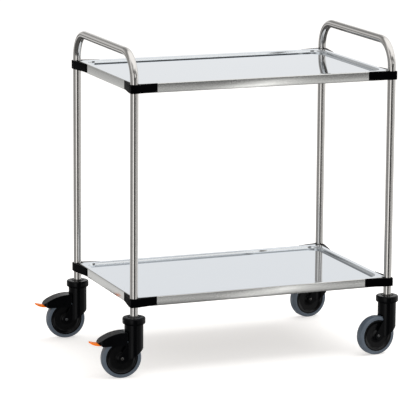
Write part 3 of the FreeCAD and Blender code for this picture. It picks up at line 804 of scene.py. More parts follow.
@dataclass
class Tray:
    """A pressed tray: hemmed apron, level rim with notched corners, and a sunk, buffed floor.

    Attributes:
        level: Which tray.
        hem: Width of the lip turned in under the apron.
        rim: Width of the level border.
        lip: Radius of the bend from the rim down into the wall.
        heel: Radius of the bend from the wall to the floor.
        slant: The wall's lean from upright, in degrees.
        wall_polish: How bright the wall is polished.
        corner: Radius of the sunk floor's corners in plan.
        notch: How far a corner notch reaches in from the apron planes, along X and along Y.
        sheet: Thickness of the steel.
        corner_steps: Steps round a corner, an even number.
        cell: Size of the mesh's cells on the floor.
        waviness: Height of the floor's slow waves.
        bow: How far a long apron bends in and out along its length.
        border: Width of the strip of rim that belongs to the apron, and of the one that belongs to the wall.
        hem_fold: Radius of the fold into the lip under the apron.
        rim_fold: Radius of the bend from the apron to the rim.
        ledge: How far inside the wall the floor's grid begins.
    """

    level: Level
    hem: float = 8.0 * MM
    rim: float = 18.0 * MM
    lip: float = 2.3 * MM
    heel: float = 0.9 * MM
    slant: float = 8.0
    wall_polish: float = 0.5
    corner: float = 36.0 * MM
    notch: Point2 = (12.4 * MM, 11.4 * MM)
    sheet: float = 1.2 * MM
    corner_steps: int = 16
    cell: float = 12.0 * MM
    waviness: float = 0.10 * MM
    bow: float = 0.06 * MM
    border: float = 6.0 * MM
    hem_fold: float = 1.6 * MM
    rim_fold: float = 2.5 * MM
    ledge: float = 20.0 * MM

    def straight(self, half: float) -> np.ndarray:
        """Evenly spaced places along a straight side of a floor with this half length."""
        reach = half - self.corner
        return np.linspace(-reach, reach, 2 * round(reach / self.cell) + 1)

    @staticmethod
    def loop(quarter: np.ndarray, xs: np.ndarray, ys: np.ndarray) -> np.ndarray:
        """A plan loop from its (+X, +Y) corner, mirrored into the others and joined by straight sides.

        Args:
            quarter: The corner's points, from the +X side to the +Y side.
            xs: Places along the sides that run along X.
            ys: Places along the sides that run along Y.

        Returns:
            (x, y) points, anticlockwise, with the first repeated at the end.
        """
        side_x, side_y = quarter[0, 0], quarter[-1, 1]
        back = np.stack([xs[::-1], np.full(len(xs), side_y)], axis=1)[1:-1]
        left = np.stack([np.full(len(ys), -side_x), ys[::-1]], axis=1)[1:-1]
        turned = quarter[::-1]
        ring = [quarter, back, turned * (-1, 1), left, -quarter, -back, turned * (1, -1), -left, quarter[:1]]
        return np.concatenate(ring)

    def outer_corner(self, half: Point2, start: Point2, inset: float) -> np.ndarray:
        """The notched corner of the apron's plan, drawn in by inset."""
        x, y = half[0] - inset, half[1] - inset
        leg = self.corner_steps // 2
        up = np.stack([np.full(leg, x), np.linspace(start[1], y - self.notch[1], leg)], axis=1)
        across = np.stack([np.linspace(x - self.notch[0], start[0], leg), np.full(leg, y)], axis=1)
        return np.concatenate([up, [[x - self.notch[0], y - self.notch[1]]], across])

    def floor_corner(self, start: Point2, inset: float) -> np.ndarray:
        """The sunk floor's round corner, about a fixed centre."""
        return arc_points(start, self.corner - inset, 0.0, math.pi / 2, self.corner_steps)

    def square_corner(self, half: Point2, start: Point2, inset: float) -> np.ndarray:
        """A square corner with as many points as the round one."""
        leg = self.corner_steps // 2 + 1
        x, y = half[0] - inset, half[1] - inset
        up = np.stack([np.full(leg, x), np.linspace(start[1], y, leg)], axis=1)
        across = np.stack([np.linspace(x, start[0], leg), np.full(leg, y)], axis=1)
        return np.concatenate([up, across[1:]])

    def apron_bow(self, x: np.ndarray, half: float) -> np.ndarray:
        """A long apron's bend: bow (0.6 sin 2t + 0.4 sin 3t) sin t, with t from 0 to pi along it."""
        turn = math.pi * np.clip((x / half + 1) / 2, 0, 1)
        return self.bow * (0.6 * np.sin(2 * turn) + 0.4 * np.sin(3 * turn)) * np.sin(turn)

    def floor_height(self, record: dict) -> float:
        """The sunk floor's height, which the record's mount on it gives."""
        mounts = {mount["name"]: mount for mount in record["mounts"]}
        return mounts[self.level.value + "_shelf_floor"]["pos_m"][2]

    def build(self, record: dict) -> bpy.types.Object:
        """Carries the section round the plan, closes the floor with a wavy grid, and adds the thickness.

        Row by row, the plan is the notched apron's, then the sunk floor's with round corners, then a
        rectangle that meets the floor's grid. The section gives each row's inset and height.

        Args:
            record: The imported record.

        Returns:
            The tray.
        """
        low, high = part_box("shelf_" + self.level.value)
        middle = (low + high) / 2
        half = ((high.x - low.x) / 2, (high.y - low.y) / 2)
        pan = (half[0] - self.rim, half[1] - self.rim)
        xs, ys = self.straight(pan[0]), self.straight(pan[1])
        start = (xs[-1], ys[-1])
        floor_z = self.floor_height(record)
        border = self.border
        apron = rounded([(self.hem, low.z), (0.0, low.z), (0.0, high.z), (border, high.z)],
                        [0, self.hem_fold, self.rim_fold, 0], steps=6)
        foot = (high.z - floor_z) * math.tan(math.radians(self.slant))
        well = rounded([(-border, high.z), (0.0, high.z), (foot, floor_z), (2 * border, floor_z)],
                       [0, self.lip, self.heel, 0], steps=6)
        plans = [self.loop(self.outer_corner(half, start, d), xs, ys) for d, _ in apron]
        plans += [self.loop(self.floor_corner(start, d), xs, ys) for d, _ in well]
        plans.append(self.loop(self.square_corner(pan, start, self.ledge), xs, ys))
        heights = np.concatenate([apron[:, 1], well[:, 1], [floor_z]])
        plan = np.stack(plans)
        rows = len(apron)
        # only the two long aprons bend, and the bend fades out across the rim
        hold = np.clip((border - apron[:, 0]) / border, 0, 1)[:, None]
        side = np.sign(plan[:rows, :, 1]) * (np.abs(plan[:rows, :, 1]) > half[1] - self.hem - 1 * MM)
        plan[:rows, :, 1] += side * hold * self.apron_bow(plan[:rows, :, 0], start[0])
        level = np.broadcast_to(heights[:, None, None], plan.shape[:2] + (1,))
        points = np.concatenate([plan, level], axis=-1)
        points[..., :2] += (middle.x, middle.y)
        run = length_along(np.concatenate([apron, well + [self.rim, 0]]))
        run = np.append(run, run[-1] + 2 * border)
        uv = np.stack(np.broadcast_arrays(length_along(plan[0])[None], run[:, None]), axis=-1)
        # the last two rows of the apron's section are the level rim
        rim_begins = rows - 2
        polish = (np.arange(len(heights)) >= rim_begins).astype(float)
        on_wall = (well[:, 1] > floor_z + self.heel / 2) & (well[:, 1] < high.z - self.lip / 2)
        polish[rows + np.flatnonzero(on_wall)] = self.wall_polish
        patches = [Patch(points, uv, polish), self.floor(pan, xs, ys, floor_z, middle)]
        tray = surface_object("pressed_tray_" + self.level.value, patches)
        thickness = tray.modifiers.new("sheet", "SOLIDIFY")
        thickness.thickness = self.sheet
        thickness.offset = -1.0
        thickness.use_even_offset = True
        return tray

    def floor(self, pan: Point2, xs: np.ndarray, ys: np.ndarray, z: float, middle: Vector) -> Patch:
        """The floor's grid: level at its edge, with slow waves that fade in from there.

        Its height is waviness (sin(11 x + 1.3 sin 7 y) + sin(13 y + 0.8 sin 5 x)), times half a sine
        across its length and half a sine across its width.

        Args:
            pan: Half the floor's length and width.
            xs: Places along its straight sides, along X.
            ys: The same along Y.
            z: The floor's height.
            middle: The tray's centre.

        Returns:
            The grid, looking up.
        """
        leg = self.corner_steps // 2 + 1
        grid_x = np.linspace(xs[-1], pan[0] - self.ledge, leg)[1:]
        grid_y = np.linspace(ys[-1], pan[1] - self.ledge, leg)[1:]
        full_x = np.concatenate([-grid_x[::-1], xs, grid_x])
        full_y = np.concatenate([-grid_y[::-1], ys, grid_y])
        x, y = np.meshgrid(full_x, full_y)
        fade = np.sin(math.pi * (x / full_x[-1] + 1) / 2) * np.sin(math.pi * (y / full_y[-1] + 1) / 2)
        wave = np.sin(x * 11.0 + 1.3 * np.sin(y * 7.0)) + np.sin(y * 13.0 + 0.8 * np.sin(x * 5.0))
        height = z + self.waviness * fade * wave
        points = np.stack([x + middle.x, y + middle.y, height], axis=-1)
        return Patch(points, np.stack([x, y], axis=-1), np.ones(len(full_y)))

    def piece(self, record: dict) -> Piece:
        """The tray as a finished piece."""
        return Piece(self.build(record), "frame", "stainless_sheet", ("shelf_" + self.level.value,))


@dataclass
class CornerBracket:
    """A moulded corner: a square sleeve round the tube, two arms along the aprons, and a block behind them.

    Attributes:
        level: Which tray it holds.
        corner: Which corner.
        sleeve: Half the sleeve's width.
        arms: Reach of the arms from the tube's axis, along X and along Y.
        inset: The apron planes' distance from the tube's axis, along X and along Y.
        proud: How far an arm's end stands off the apron.
        bore: Radius of the hole for the tube.
        edge: Radius of the moulded edges.
        nose: Radius of the sleeve's outer corner in plan.
        lip: Width of an arm's rounded end.
        start: Where an arm's sweep leaves the sleeve, as a share of the sleeve's half width.
        lift: How far out the sweep is drawn halfway, as the same share.
        reach: How far the tongues behind the aprons reach from the tube's axis.
        block: How far the block behind the corner reaches from the tube's axis.
        cut: Distance from the tube's axis to the block's bevelled inner face.
        tongue: Thickness of a tongue.
        sheet: Thickness of the tray's steel.
        fit: Gap between the moulding and the steel.
        headroom: From the tongues up to the bracket's top.
    """

    level: Level
    corner: Corner
    sleeve: float = 14.3 * MM
    arms: Point2 = (75.5 * MM, 90.0 * MM)
    inset: Point2 = (2.0 * MM, 3.0 * MM)
    proud: float = 2.0 * MM
    bore: float = 12.6 * MM
    edge: float = 0.8 * MM
    nose: float = 4.0 * MM
    lip: float = 1.0 * MM
    start: float = 0.55
    lift: float = 0.5
    reach: float = 58.0 * MM
    block: float = 23.0 * MM
    cut: float = 29.4 * MM
    tongue: float = 3.0 * MM
    sheet: float = 1.2 * MM
    fit: float = 0.1 * MM
    headroom: float = 2.6 * MM

    @property
    def place_name(self) -> str:
        """The end of its node's name and of its piece's."""
        return self.level.value + "_" + self.corner.tag

    @staticmethod
    def sweep_in(start: Point2, end: Point2, lift: Point2, steps: int = 14) -> np.ndarray:
        """A quadratic curve, (1 - t)^2 start + 2 t (1 - t) lift + t^2 end, with t from 0 to 1."""
        t = np.linspace(0.0, 1.0, steps + 1)[:, None]
        return (1 - t) ** 2 * np.array(start) + 2 * t * (1 - t) * np.array(lift) + t ** 2 * np.array(end)

    def outline(self) -> np.ndarray:
        """Plan of the sleeve and arms, with the tube's axis as origin and the tray's middle at (+, +)."""
        h, (ax, ay) = self.sleeve, self.arms
        face_x, face_y = self.inset[0] - self.fit, self.inset[1] - self.fit
        end_x, end_y = self.inset[0] - self.proud, self.inset[1] - self.proud
        begin, out, round_off = self.start * h, -self.lift * h, 0.7 * self.lip
        nose = rounded([(-h, 0.0), (-h, -h), (0.0, -h)], [0, self.nose, 0], steps=8)[1:-1]
        front = self.sweep_in((begin, -h), (ax - self.lip, end_y), ((begin + ax) / 2, out))
        side = self.sweep_in((end_x, ay - self.lip), (-h, begin), (out, (begin + ay) / 2))
        inner = [(ax, end_y + round_off), (ax, face_y), (0.6 * ax, face_y), (h, face_y), (h, h), (face_x, h),
                 (face_x, 0.6 * ay), (face_x, ay), (end_x + round_off, ay)]
        return np.concatenate([nose, front, inner, side])

    def build(self) -> bpy.types.Object:
        """Joins the body, the two tongues and the screw block in one mesh.

        Returns:
            The bracket.
        """
        low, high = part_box("bracket_" + self.place_name)
        sx, sy = self.corner.signs
        axis_x = (low.x if sx < 0 else high.x) - sx * self.sleeve
        axis_y = (low.y if sy < 0 else high.y) - sy * self.sleeve

        def place(local: np.ndarray) -> np.ndarray:
            """Turns (inward x, inward y, z) into the trolley's frame."""
            return local * (-sx, -sy, 1) + (axis_x, axis_y, 0)

        low_in, high_in = low.z + self.sheet, high.z - self.headroom
        in_x, in_y = self.inset[0] + self.sheet + self.fit, self.inset[1] + self.sheet + self.fit
        b, r, t = self.block, self.reach, self.tongue
        root, inside = 0.9 * b, self.sleeve - 1 * MM
        cut = self.cut * math.sqrt(2) - b
        plans = [
            [(root, in_y), (r, in_y), (r, in_y + t), (root, in_y + t)],
            [(in_x, root), (in_x + t, root), (in_x + t, r), (in_x, r)],
            [(inside, in_y), (b, in_y), (b, cut), (cut, b), (in_x, b), (in_x, inside), (inside, inside)],
        ]
        patches = [prism(self.outline(), low.z, high.z, self.edge, self.bore, place)]
        for plan in plans:
            rim = rounded(plan, [0.6 * MM] * len(plan), steps=3, closed=True)
            patches.append(prism(rim, low_in, high_in, 0.5 * MM, None, place))
        if sx * sy < 0:
            patches = [patch.flipped() for patch in patches]
        return surface_object("corner_bracket_" + self.place_name, patches, sharp=50)

    def piece(self) -> Piece:
        """The bracket as a finished piece."""
        return Piece(self.build(), "frame", "bracket_plastic", ("bracket_" + self.place_name,))


@dataclass(frozen=True)
class Section:
    """Half of a turned section, drawn in millimetres from the wheel's axis and from its middle plane.

    Attributes:
        corners: (radius, height, fillet) of each corner, from the axis outwards.
    """

    corners: Sequence[tuple[float, float, float]]

    def points(self) -> np.ndarray:
        """The section's (radius, height) points in metres, with its fillets as arcs."""
        table = np.array(self.corners) * MM
        return rounded(table[:, :2], table[:, 2])


# bore, hub boss, dished web with a shallow ring step, raised bright lip, and the tyre's seat
WHEEL_CENTRE = Section((
    (6.1, 15.6, 0), (11.5, 15.6, 1.2), (14.0, 14.6, 1.5), (17.0, 9.6, 2.5), (24.0, 8.9, 3.0),
    (37.5, 9.1, 3.0), (41.5, 10.6, 2.0), (44.0, 13.4, 1.6), (45.6, 14.5, 0.8), (49.9, 14.5, 0)))
# seat, flat cheek, round shoulder, low crown, and a fine mould seam in the middle
TREAD = Section((
    (49.9, 13.6, 0), (50.6, 14.9, 0.6), (57.6, 14.7, 2.0), (61.1, 12.4, 2.5), (62.2, 8.5, 6.0),
    (62.5, 4.0, 6.0), (62.5, 0.5, 0.2), (62.3, 0.15, 0)))
# domed head, from its middle to its rim, and the rod under it
AXLE = Section(((0.0, 21.9, 0), (3.6, 21.5, 2.5), (5.2, 20.1, 0.3), (4.0, 20.1, 0)))


@dataclass(frozen=True)
class Moulding:
    """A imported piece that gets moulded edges: its mesh is merged, filled with small cells and relaxed.

    Attributes:
        node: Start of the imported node's name.
        name: Start of the new piece's name.
        body: Start of the name of the body that it rides on.
        slot: Its finish.
        voxel: Size of the cells.
        relax: Rounds of smoothing.
    """

    node: str
    name: str
    body: str
    slot: str
    voxel: float
    relax: int

    def build(self, name: str, node: bpy.types.Object, pivot: Vector, turn: float) -> bpy.types.Object:
        """Rebuilds one node's shape, square to its own axes so that its flats stay flat.

        Args:
            name: The new piece's name.
            node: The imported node.
            pivot: A point on the upright axis that the piece is turned about.
            turn: How far it is turned, in radians.

        Returns:
            The new piece, where the node is.
        """
        mesh = node.data.copy()
        mesh.materials.clear()
        square = Matrix.Rotation(-turn, 4, "Z") @ Matrix.Translation(-Vector((pivot.x, pivot.y, 0)))
        mesh.transform(square)
        work = bmesh.new()
        work.from_mesh(mesh)
        bmesh.ops.remove_doubles(work, verts=work.verts, dist=SAME_POINT)
        work.to_mesh(mesh)
        work.free()
        blank = bpy.data.objects.new(name, mesh)
        bpy.context.scene.collection.objects.link(blank)
        cells = blank.modifiers.new("cells", "REMESH")
        cells.mode = "VOXEL"
        cells.voxel_size = self.voxel
        cells.use_smooth_shade = True
        relax = blank.modifiers.new("relax", "SMOOTH")
        relax.iterations = self.relax
        relax.factor = 0.5
        graph = bpy.context.evaluated_depsgraph_get()
        shaped = bpy.data.meshes.new_from_object(blank.evaluated_get(graph))
        blank.modifiers.clear()
        blank.data = shaped
        shaped.name = name
        shaped.transform(square.inverted())
        return blank


FORK = Moulding("castor_fork_", "fork_", "castor_", "castor_plastic", voxel=0.75 * MM, relax=4)
BRAKE = (
    Moulding("brake_pedal_", "pedal_", "pedal_", "castor_plastic", voxel=0.6 * MM, relax=5),
    Moulding("pedal_tab_", "tab_", "pedal_", "signal_orange", voxel=0.4 * MM, relax=5),
    Moulding("brake_shoe_", "shoe_", "pedal_", "shoe_rubber", voxel=0.5 * MM, relax=3),
)


@dataclass
class Castor:
    """One swivel castor: collar, fork, wheel, tyre, axle, and on the braked ones a pedal with its tab.

    Attributes:
        corner: Which corner it stands at.
        pivot: A point on the swivel axis.
        axle: The wheel's centre.
        turn: How far the fork is swung, in radians.
    """

    corner: Corner
    pivot: Vector
    axle: Vector
    turn: float

    @classmethod
    def from_joints(cls, corner: Corner, joints: dict) -> "Castor":
        """Reads the castor's axes from its swivel and roll joints."""
        swivel, roll = joints["swivel_" + corner.tag], joints["roll_" + corner.tag]
        turn = math.atan2(-roll["axis"][0], roll["axis"][1])
        return cls(corner, Vector(swivel["pos_m"]), Vector(roll["pos_m"]), turn)

    def upright(self, local: np.ndarray) -> np.ndarray:
        """Moves points whose Z axis is the swivel axis to their place."""
        return local + (self.pivot.x, self.pivot.y, 0.0)

    def crossways(self, local: np.ndarray) -> np.ndarray:
        """Moves points whose Z axis is the wheel's axis to their place."""
        cos, sin = math.cos(self.turn), math.sin(self.turn)
        along, up, out = local[..., 0], local[..., 1], -local[..., 2]
        turned = np.stack([along * cos - out * sin, along * sin + out * cos, up], axis=-1)
        return turned + (self.axle.x, self.axle.y, self.axle.z)

    def collar(self) -> Piece:
        """The bumper ring between leg and fork: a turned section with a round shoulder and a tube socket."""
        node = "castor_collar_" + self.corner.tag
        low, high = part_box(node)
        rim, foot, top = (high.x - low.x) / 2, low.z, high.z
        shoulder, groove, seat = top - 0.9 * MM, top - 2.7 * MM, foot + 13 * MM
        stem, socket = 12.3 * MM, 12.6 * MM
        seam = (stem, foot + 3 * MM)
        corners = [seam, (stem, foot), (rim, foot), (rim, shoulder), (20 * MM, shoulder), (19.5 * MM, groove),
                   (16.9 * MM, groove), (16.2 * MM, top), (socket, top), (socket, seat), (stem, seat), seam]
        fillets = np.array([0, 0.3, 3.5, 4.3, 1.0, 0.8, 0.8, 0.7, 0.4, 0, 0, 0]) * MM
        patch = revolve(rounded(corners, fillets, steps=7), self.upright)
        obj = surface_object("collar_" + self.corner.tag, [patch])
        return Piece(obj, "frame", "castor_plastic", (node,))

    def wheel(self) -> Piece:
        """The moulded wheel centre."""
        return self.turned_wheel("wheel_centre_", WHEEL_CENTRE, "wheel_plastic", "wheel_core_")

    def tyre(self) -> Piece:
        """The tread ring."""
        return self.turned_wheel("tyre_", TREAD, "grey_tread", "tyre_")

    def turned_wheel(self, prefix: str, section: Section, slot: str, node: str) -> Piece:
        """Turns a half section and its mirror image about the wheel's axis, closed through the bore.

        Args:
            prefix: Start of the piece's name.
            section: The half on the +height side.
            slot: The finish.
            node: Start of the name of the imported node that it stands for.

        Returns:
            The finished piece.
        """
        half = section.points()
        mirror = half * (1, -1)
        profile = np.concatenate([mirror, half[::-1], mirror[:1]])
        patch = revolve(profile, self.crossways, around=144)
        obj = surface_object(prefix + self.corner.tag, [patch], sharp=35)
        return Piece(obj, "wheel_" + self.corner.tag, slot, (node + self.corner.tag,))

    def axle_pin(self) -> Piece:
        """The axle: a plain rod with a low domed head at both ends."""
        node = "wheel_axle_" + self.corner.tag
        half = AXLE.points()
        profile = np.concatenate([half * (1, -1), half[::-1]])
        obj = surface_object("axle_" + self.corner.tag, [revolve(profile, self.crossways, around=48)])
        return Piece(obj, "castor_" + self.corner.tag, "zinc_steel", (node,))

    def mouldings(self, nodes: dict) -> list[Piece]:
        """The fork, and on a braked castor the pedal, its tab and its shoe."""
        tag = self.corner.tag
        pieces = []
        for part in (FORK, *BRAKE) if self.corner.braked else (FORK,):
            copy = part.build(part.name + tag, nodes[part.node + tag], self.pivot, self.turn)
            pieces.append(Piece(copy, part.body + tag, part.slot, (part.node + tag,)))
        return pieces

    def pieces(self, nodes: dict) -> list[Piece]:
        """Every visible piece of the castor."""
        return [self.collar(), self.wheel(), self.tyre(), self.axle_pin()] + self.mouldings(nodes)


# ------------------------------------------------------------------ studio
@dataclass(frozen=True)
class Strip:
    """A narrow upright light in a belt of panels.

    Attributes:
        angle: Where its middle is, in degrees round from the camera.
        core: Half the width of its full brightness, in degrees.
        edge: Half its whole width, in degrees.
        brightness: How bright it is.
    """

    angle: float
    core: float
    edge: float
    brightness: float


@dataclass(frozen=True)
class Ring:
    """A belt of soft panels round the trolley, as metal mirrors it.

    Attributes:
        start: Sine of the elevation where this belt begins to take over from the one below.
        full: Sine of the elevation where it has done so.
        stops: (degrees round from the camera, brightness) of its panels.
        strip: A narrow light in it.
    """

    start: float
    full: float
    stops: Sequence[tuple[float, float]]
    strip: Optional[Strip] = None


RINGS: tuple[Ring, ...] = (
    Ring(-0.34, -0.27, (
        (-180, 0.6), (-137, 0.86), (-118, 0.6), (-104, 0.4), (-77, 0.34), (-60, 0.36), (-46, 0.5),
        (-34, 0.6), (-29, 1.5), (-9, 1.5), (-3, 0.15), (4, 0.07), (30, 0.07), (37, 0.1), (41, 0.72),
        (42.6, 0.74), (43.3, 0.56), (45.4, 0.8), (48, 0.8), (56, 0.4), (66, 0.55), (76, 0.8), (88, 0.5),
        (104, 1.2), (116, 1.1), (126, 0.5), (140, 0.45), (160, 0.55), (180, 0.6)),
         Strip(angle=44.6, core=0.2, edge=0.45, brightness=2.5)),
    Ring(-0.21, -0.15, (
        (-180, 0.6), (-137, 0.58), (-118, 0.6), (-104, 0.4), (-77, 0.3), (-60, 0.34), (-46, 0.45),
        (-34, 0.6), (-29, 1.5), (-9, 1.5), (-3, 0.15), (4, 0.07), (30, 0.07), (37, 0.08), (41, 0.54),
        (42.7, 0.54), (43.6, 0.2), (45.4, 0.34), (48, 0.35), (56, 0.3), (66, 0.55), (76, 0.8), (88, 0.5),
        (104, 1.2), (116, 1.1), (126, 0.5), (140, 0.4), (160, 0.55), (180, 0.6)),
         Strip(angle=44.6, core=0.2, edge=0.45, brightness=2.6)),
    Ring(-0.12, -0.08, (
        (-180, 0.5), (-165, 0.3), (-150, 0.16), (-125, 0.16), (-100, 0.3), (-77, 0.35), (-46, 0.5),
        (-26, 1.2), (-12, 1.2), (-5, 0.2), (4, 0.1), (36, 0.12), (60, 0.4), (76, 0.8), (104, 1.2),
        (130, 0.6), (180, 0.5))),
    Ring(-0.03, 0.03, (
        (-180, 0.95), (-165, 0.9), (-150, 0.6), (-137, 0.62), (-110, 0.35), (-95, 0.25), (-80, 0.35),
        (-46, 0.5), (-30, 1.2), (-14, 1.2), (-5, 0.2), (4, 0.1), (50, 0.1), (60, 0.15), (76, 0.2),
        (90, 1.3), (140, 1.2), (152, 0.9), (170, 0.95), (180, 0.95))),
    Ring(0.1, 0.13, (
        (-180, 0.95), (-165, 0.9), (-150, 0.6), (-142, 0.8), (-130, 0.8), (-116, 0.45), (-95, 0.4),
        (-80, 0.45), (-46, 0.6), (-30, 1.2), (-14, 1.2), (-5, 0.4), (4, 0.26), (22, 0.26), (32, 1.2),
        (51, 1.3), (58, 0.15), (84, 0.15), (96, 1.3), (140, 1.2), (152, 0.9), (170, 0.95), (180, 0.95))),
    Ring(0.27, 0.36, (
        (-180, 0.7), (-170, 0.4), (-150, 0.27), (-128, 0.5), (-110, 0.3), (-97, 0.3), (-80, 0.5),
        (-60, 1.1), (-40, 0.9), (-20, 0.2), (5, 0.25), (20, 0.5), (31, 0.06), (56, 0.06), (66, 1.2),
        (140, 1.3), (155, 0.9), (172, 1.0), (180, 0.7))),
    Ring(0.5, 0.62, (
        (-180, 1.0), (-166, 0.5), (-145, 0.28), (-131, 0.28), (-106, 0.4), (-90, 0.55), (-75, 1.1),
        (-55, 0.9), (-30, 0.45), (-8, 0.6), (10, 1.0), (30, 1.4), (150, 1.4), (172, 1.1), (180, 1.0))),
)


@dataclass
class Studio:
    """Pale floor, soft light and camera.

    Attributes:
        azimuth: Direction the camera looks in, in degrees from +Y towards -X.
        elevation: How far it looks down, in degrees.
        roll: Its tilt, in degrees.
        distance: From the camera to the middle of the trolley, in metres.
        aim: How far right and up of the trolley's middle the picture's centre lies, in metres.
        lens: Focal length for a 36 mm film.
        ambient: Brightness of the light that reaches matt surfaces from all round.
        zenith: What metal mirrors straight above.
        zenith_share: Sines of the elevation where the zenith begins to take over, and where it has done so.
        nadir: What metal mirrors below the lowest ring.
        floor_half: Half the floor's width, in metres.
        floor_glow: Colour of the light that reaches the floor from all round.
        floor_lift: Brightness of that light.
        lamp_size: The overhead lamp's length and width, in metres.
        lamp_place: Where it hangs.
        lamp_power: Its power in watts.
    """

    azimuth: float = -21.501
    elevation: float = 11.318
    roll: float = 0.371
    distance: float = 8.3856
    aim: Point2 = (-0.0502, -0.0273)
    lens: float = 238.92
    ambient: float = 0.85
    zenith: float = 1.4
    zenith_share: Point2 = (0.78, 0.9)
    nadir: float = 0.12
    floor_half: float = 30.0
    floor_glow: Colour = (1.0, 0.97, 0.94, 1)
    floor_lift: float = 0.55
    lamp_size: Point2 = (4.2, 3.0)
    lamp_place: tuple[float, float, float] = (1.5, 0.0, 3.2)
    lamp_power: float = 104.0

    def camera(self) -> None:
        """Places the camera from its angles, its distance and its aim."""
        low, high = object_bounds()
        middle = (Vector(low) + Vector(high)) / 2
        yaw, pitch, roll = (math.radians(a) for a in (self.azimuth, self.elevation, self.roll))
        turn = Matrix.Rotation(yaw, 3, "Z") @ Matrix.Rotation(math.pi / 2 - pitch, 3, "X")
        right, up, back = turn.col[0], turn.col[1], turn.col[2]
        data = bpy.data.cameras.new("camera")
        data.lens = self.lens
        data.sensor_width = 36.0
        data.clip_end = 100.0
        camera = bpy.data.objects.new("camera", data)
        bpy.context.scene.collection.objects.link(camera)
        place = middle + right * self.aim[0] + up * self.aim[1] + back * self.distance
        camera.matrix_world = Matrix.Translation(place) @ (turn @ Matrix.Rotation(roll, 3, "Z")).to_4x4()
        bpy.context.scene.camera = camera

    def floor(self) -> None:
        """A wide matt pale floor that glows a little and that metal doesn't mirror."""
        half = self.floor_half
        corners = [(-half, -half, 0), (half, -half, 0), (half, half, 0), (-half, half, 0)]
        mesh = bpy.data.meshes.new("floor")
        mesh.from_pydata(corners, [], [(0, 1, 2, 3)])
        floor = bpy.data.objects.new("floor", mesh)
        bpy.context.scene.collection.objects.link(floor)
        material = bpy.data.materials.new("pale_floor")
        material.use_nodes = True
        make = NodeTree(material.node_tree)
        shader = material.node_tree.nodes["Principled BSDF"]
        noise = make.add("TexNoise", {"Vector": make.add("TexCoord").outputs["Object"], "Scale": 1.5})
        colour = make.mix_colour(noise.outputs[0], (0.63, 0.62, 0.61, 1), (0.67, 0.67, 0.67, 1))
        make.tree.links.new(colour, shader.inputs["Base Color"])
        shader.inputs["Emission Color"].default_value = self.floor_glow
        shader.inputs["Emission Strength"].default_value = self.floor_lift
        shader.inputs["Roughness"].default_value = 0.9
        shader.inputs["Specular IOR Level"].default_value = 0.0
        mesh.materials.append(material)
        floor.visible_glossy = False
        floor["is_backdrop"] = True

    def light(self) -> None:
        """Rings of soft panels for metal to mirror, an even light for the rest, and a wide lamp overhead."""
        world = bpy.data.worlds.new("studio")
        bpy.context.scene.world = world
        world.use_nodes = True
        world.cycles.sampling_method = "NONE"
        make = NodeTree(world.node_tree)
        mirrored = world.node_tree.nodes["Background"]
        output = world.node_tree.nodes["World Output"]
        direction = make.add("TexCoord").outputs["Generated"]
        facing = math.radians(self.azimuth - 90.0)
        turned = make.add("VectorRotate", {"Vector": direction, "Angle": -facing}, rotation_type="Z_AXIS")
        split = make.add("SeparateXYZ", {0: turned.outputs[0]})
        height = split.outputs[2]
        angle = make.math("ARCTAN2", split.outputs[1], split.outputs[0])
        position = make.math("ADD", make.math("DIVIDE", angle, 2 * math.pi), 0.5)
        top = max(value for ring in RINGS for _, value in ring.stops)

        def strip_mask(strip: Strip) -> bpy.types.NodeSocket:
            """One inside the strip's core, zero outside its edge."""
            off = make.math("ABSOLUTE", make.math("SUBTRACT", angle, math.radians(strip.angle)))
            fade = {0: off, 1: math.radians(strip.core), 2: math.radians(strip.edge), 3: 1.0, 4: 0.0}
            return make.add("MapRange", fade).outputs[0]

        def grey(value: float) -> Colour:
            """A brightness as a colour, in units of the brightest panel."""
            return (value / top, value / top, value / top, 1.0)

        panels = grey(self.nadir)
        for ring in RINGS:
            belt = make.ramp(position, [(a / 360 + 0.5, value / top) for a, value in ring.stops])
            if ring.strip:
                belt = make.mix_colour(strip_mask(ring.strip), belt, grey(ring.strip.brightness))
            share = make.add("MapRange", {0: height, 1: ring.start, 2: ring.full}).outputs[0]
            panels = make.mix_colour(share, panels, belt)
        share = make.add("MapRange", {0: height, 1: self.zenith_share[0], 2: self.zenith_share[1]}).outputs[0]
        panels = make.mix_colour(share, panels, grey(self.zenith))
        make.tree.links.new(panels, mirrored.inputs["Color"])
        mirrored.inputs["Strength"].default_value = top
        even = make.add("Background", {"Color": (1, 1, 1, 1), "Strength": self.ambient})
        seen = make.add("Background", {"Color": (1, 1, 1, 1), "Strength": 1.0})
        path = make.add("LightPath")
        glossy = make.add("MixShader", {0: path.outputs["Is Glossy Ray"]})
        make.tree.links.new(even.outputs[0], glossy.inputs[1])
        make.tree.links.new(mirrored.outputs[0], glossy.inputs[2])
        mix = make.add("MixShader", {0: path.outputs["Is Camera Ray"]})
        make.tree.links.new(glossy.outputs[0], mix.inputs[1])
        make.tree.links.new(seen.outputs[0], mix.inputs[2])
        make.tree.links.new(mix.outputs[0], output.inputs["Surface"])
        lamp = bpy.data.lights.new("overhead", "AREA")
        lamp.shape = "RECTANGLE"
        lamp.size, lamp.size_y = self.lamp_size
        lamp.energy = self.lamp_power
        holder = bpy.data.objects.new("overhead", lamp)
        bpy.context.scene.collection.objects.link(holder)
        holder.location = self.lamp_place
        holder.visible_glossy = False

    def build(self) -> None:
        """Camera, floor, light and plain colour management."""
        self.camera()
        self.floor()
        self.light()
        bpy.context.scene.view_settings.view_transform = "Standard"


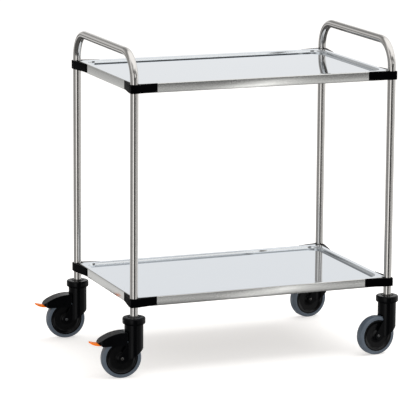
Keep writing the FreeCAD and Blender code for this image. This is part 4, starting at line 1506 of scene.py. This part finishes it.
def main() -> None:
    """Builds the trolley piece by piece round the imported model."""
    logging.basicConfig(level=logging.INFO, format="%(name)s: %(message)s")
    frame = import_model()
    joints = {joint["name"]: joint for joint in frame["joints"]}
    Studio().build()
    paint = Paintbox()
    paint.dress_nodes(frame)
    pieces = [Hoop(side).piece() for side in ("left", "right")]
    for level in Level:
        pieces.append(Tray(level).piece(frame["record"]))
        pieces += [CornerBracket(level, corner).piece() for corner in Corner]
    for corner in Corner:
        pieces += Castor.from_joints(corner, joints).pieces(frame["nodes"])
    for piece in pieces:
        paint.dress(piece.obj, piece.slot)
        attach(piece.obj, piece.body)
        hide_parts(*piece.stands_for)
        LOG.info("%s rides on %s, %d faces", piece.obj.name, piece.body, len(piece.obj.data.polygons))


if __name__ == "__main__":
    main()
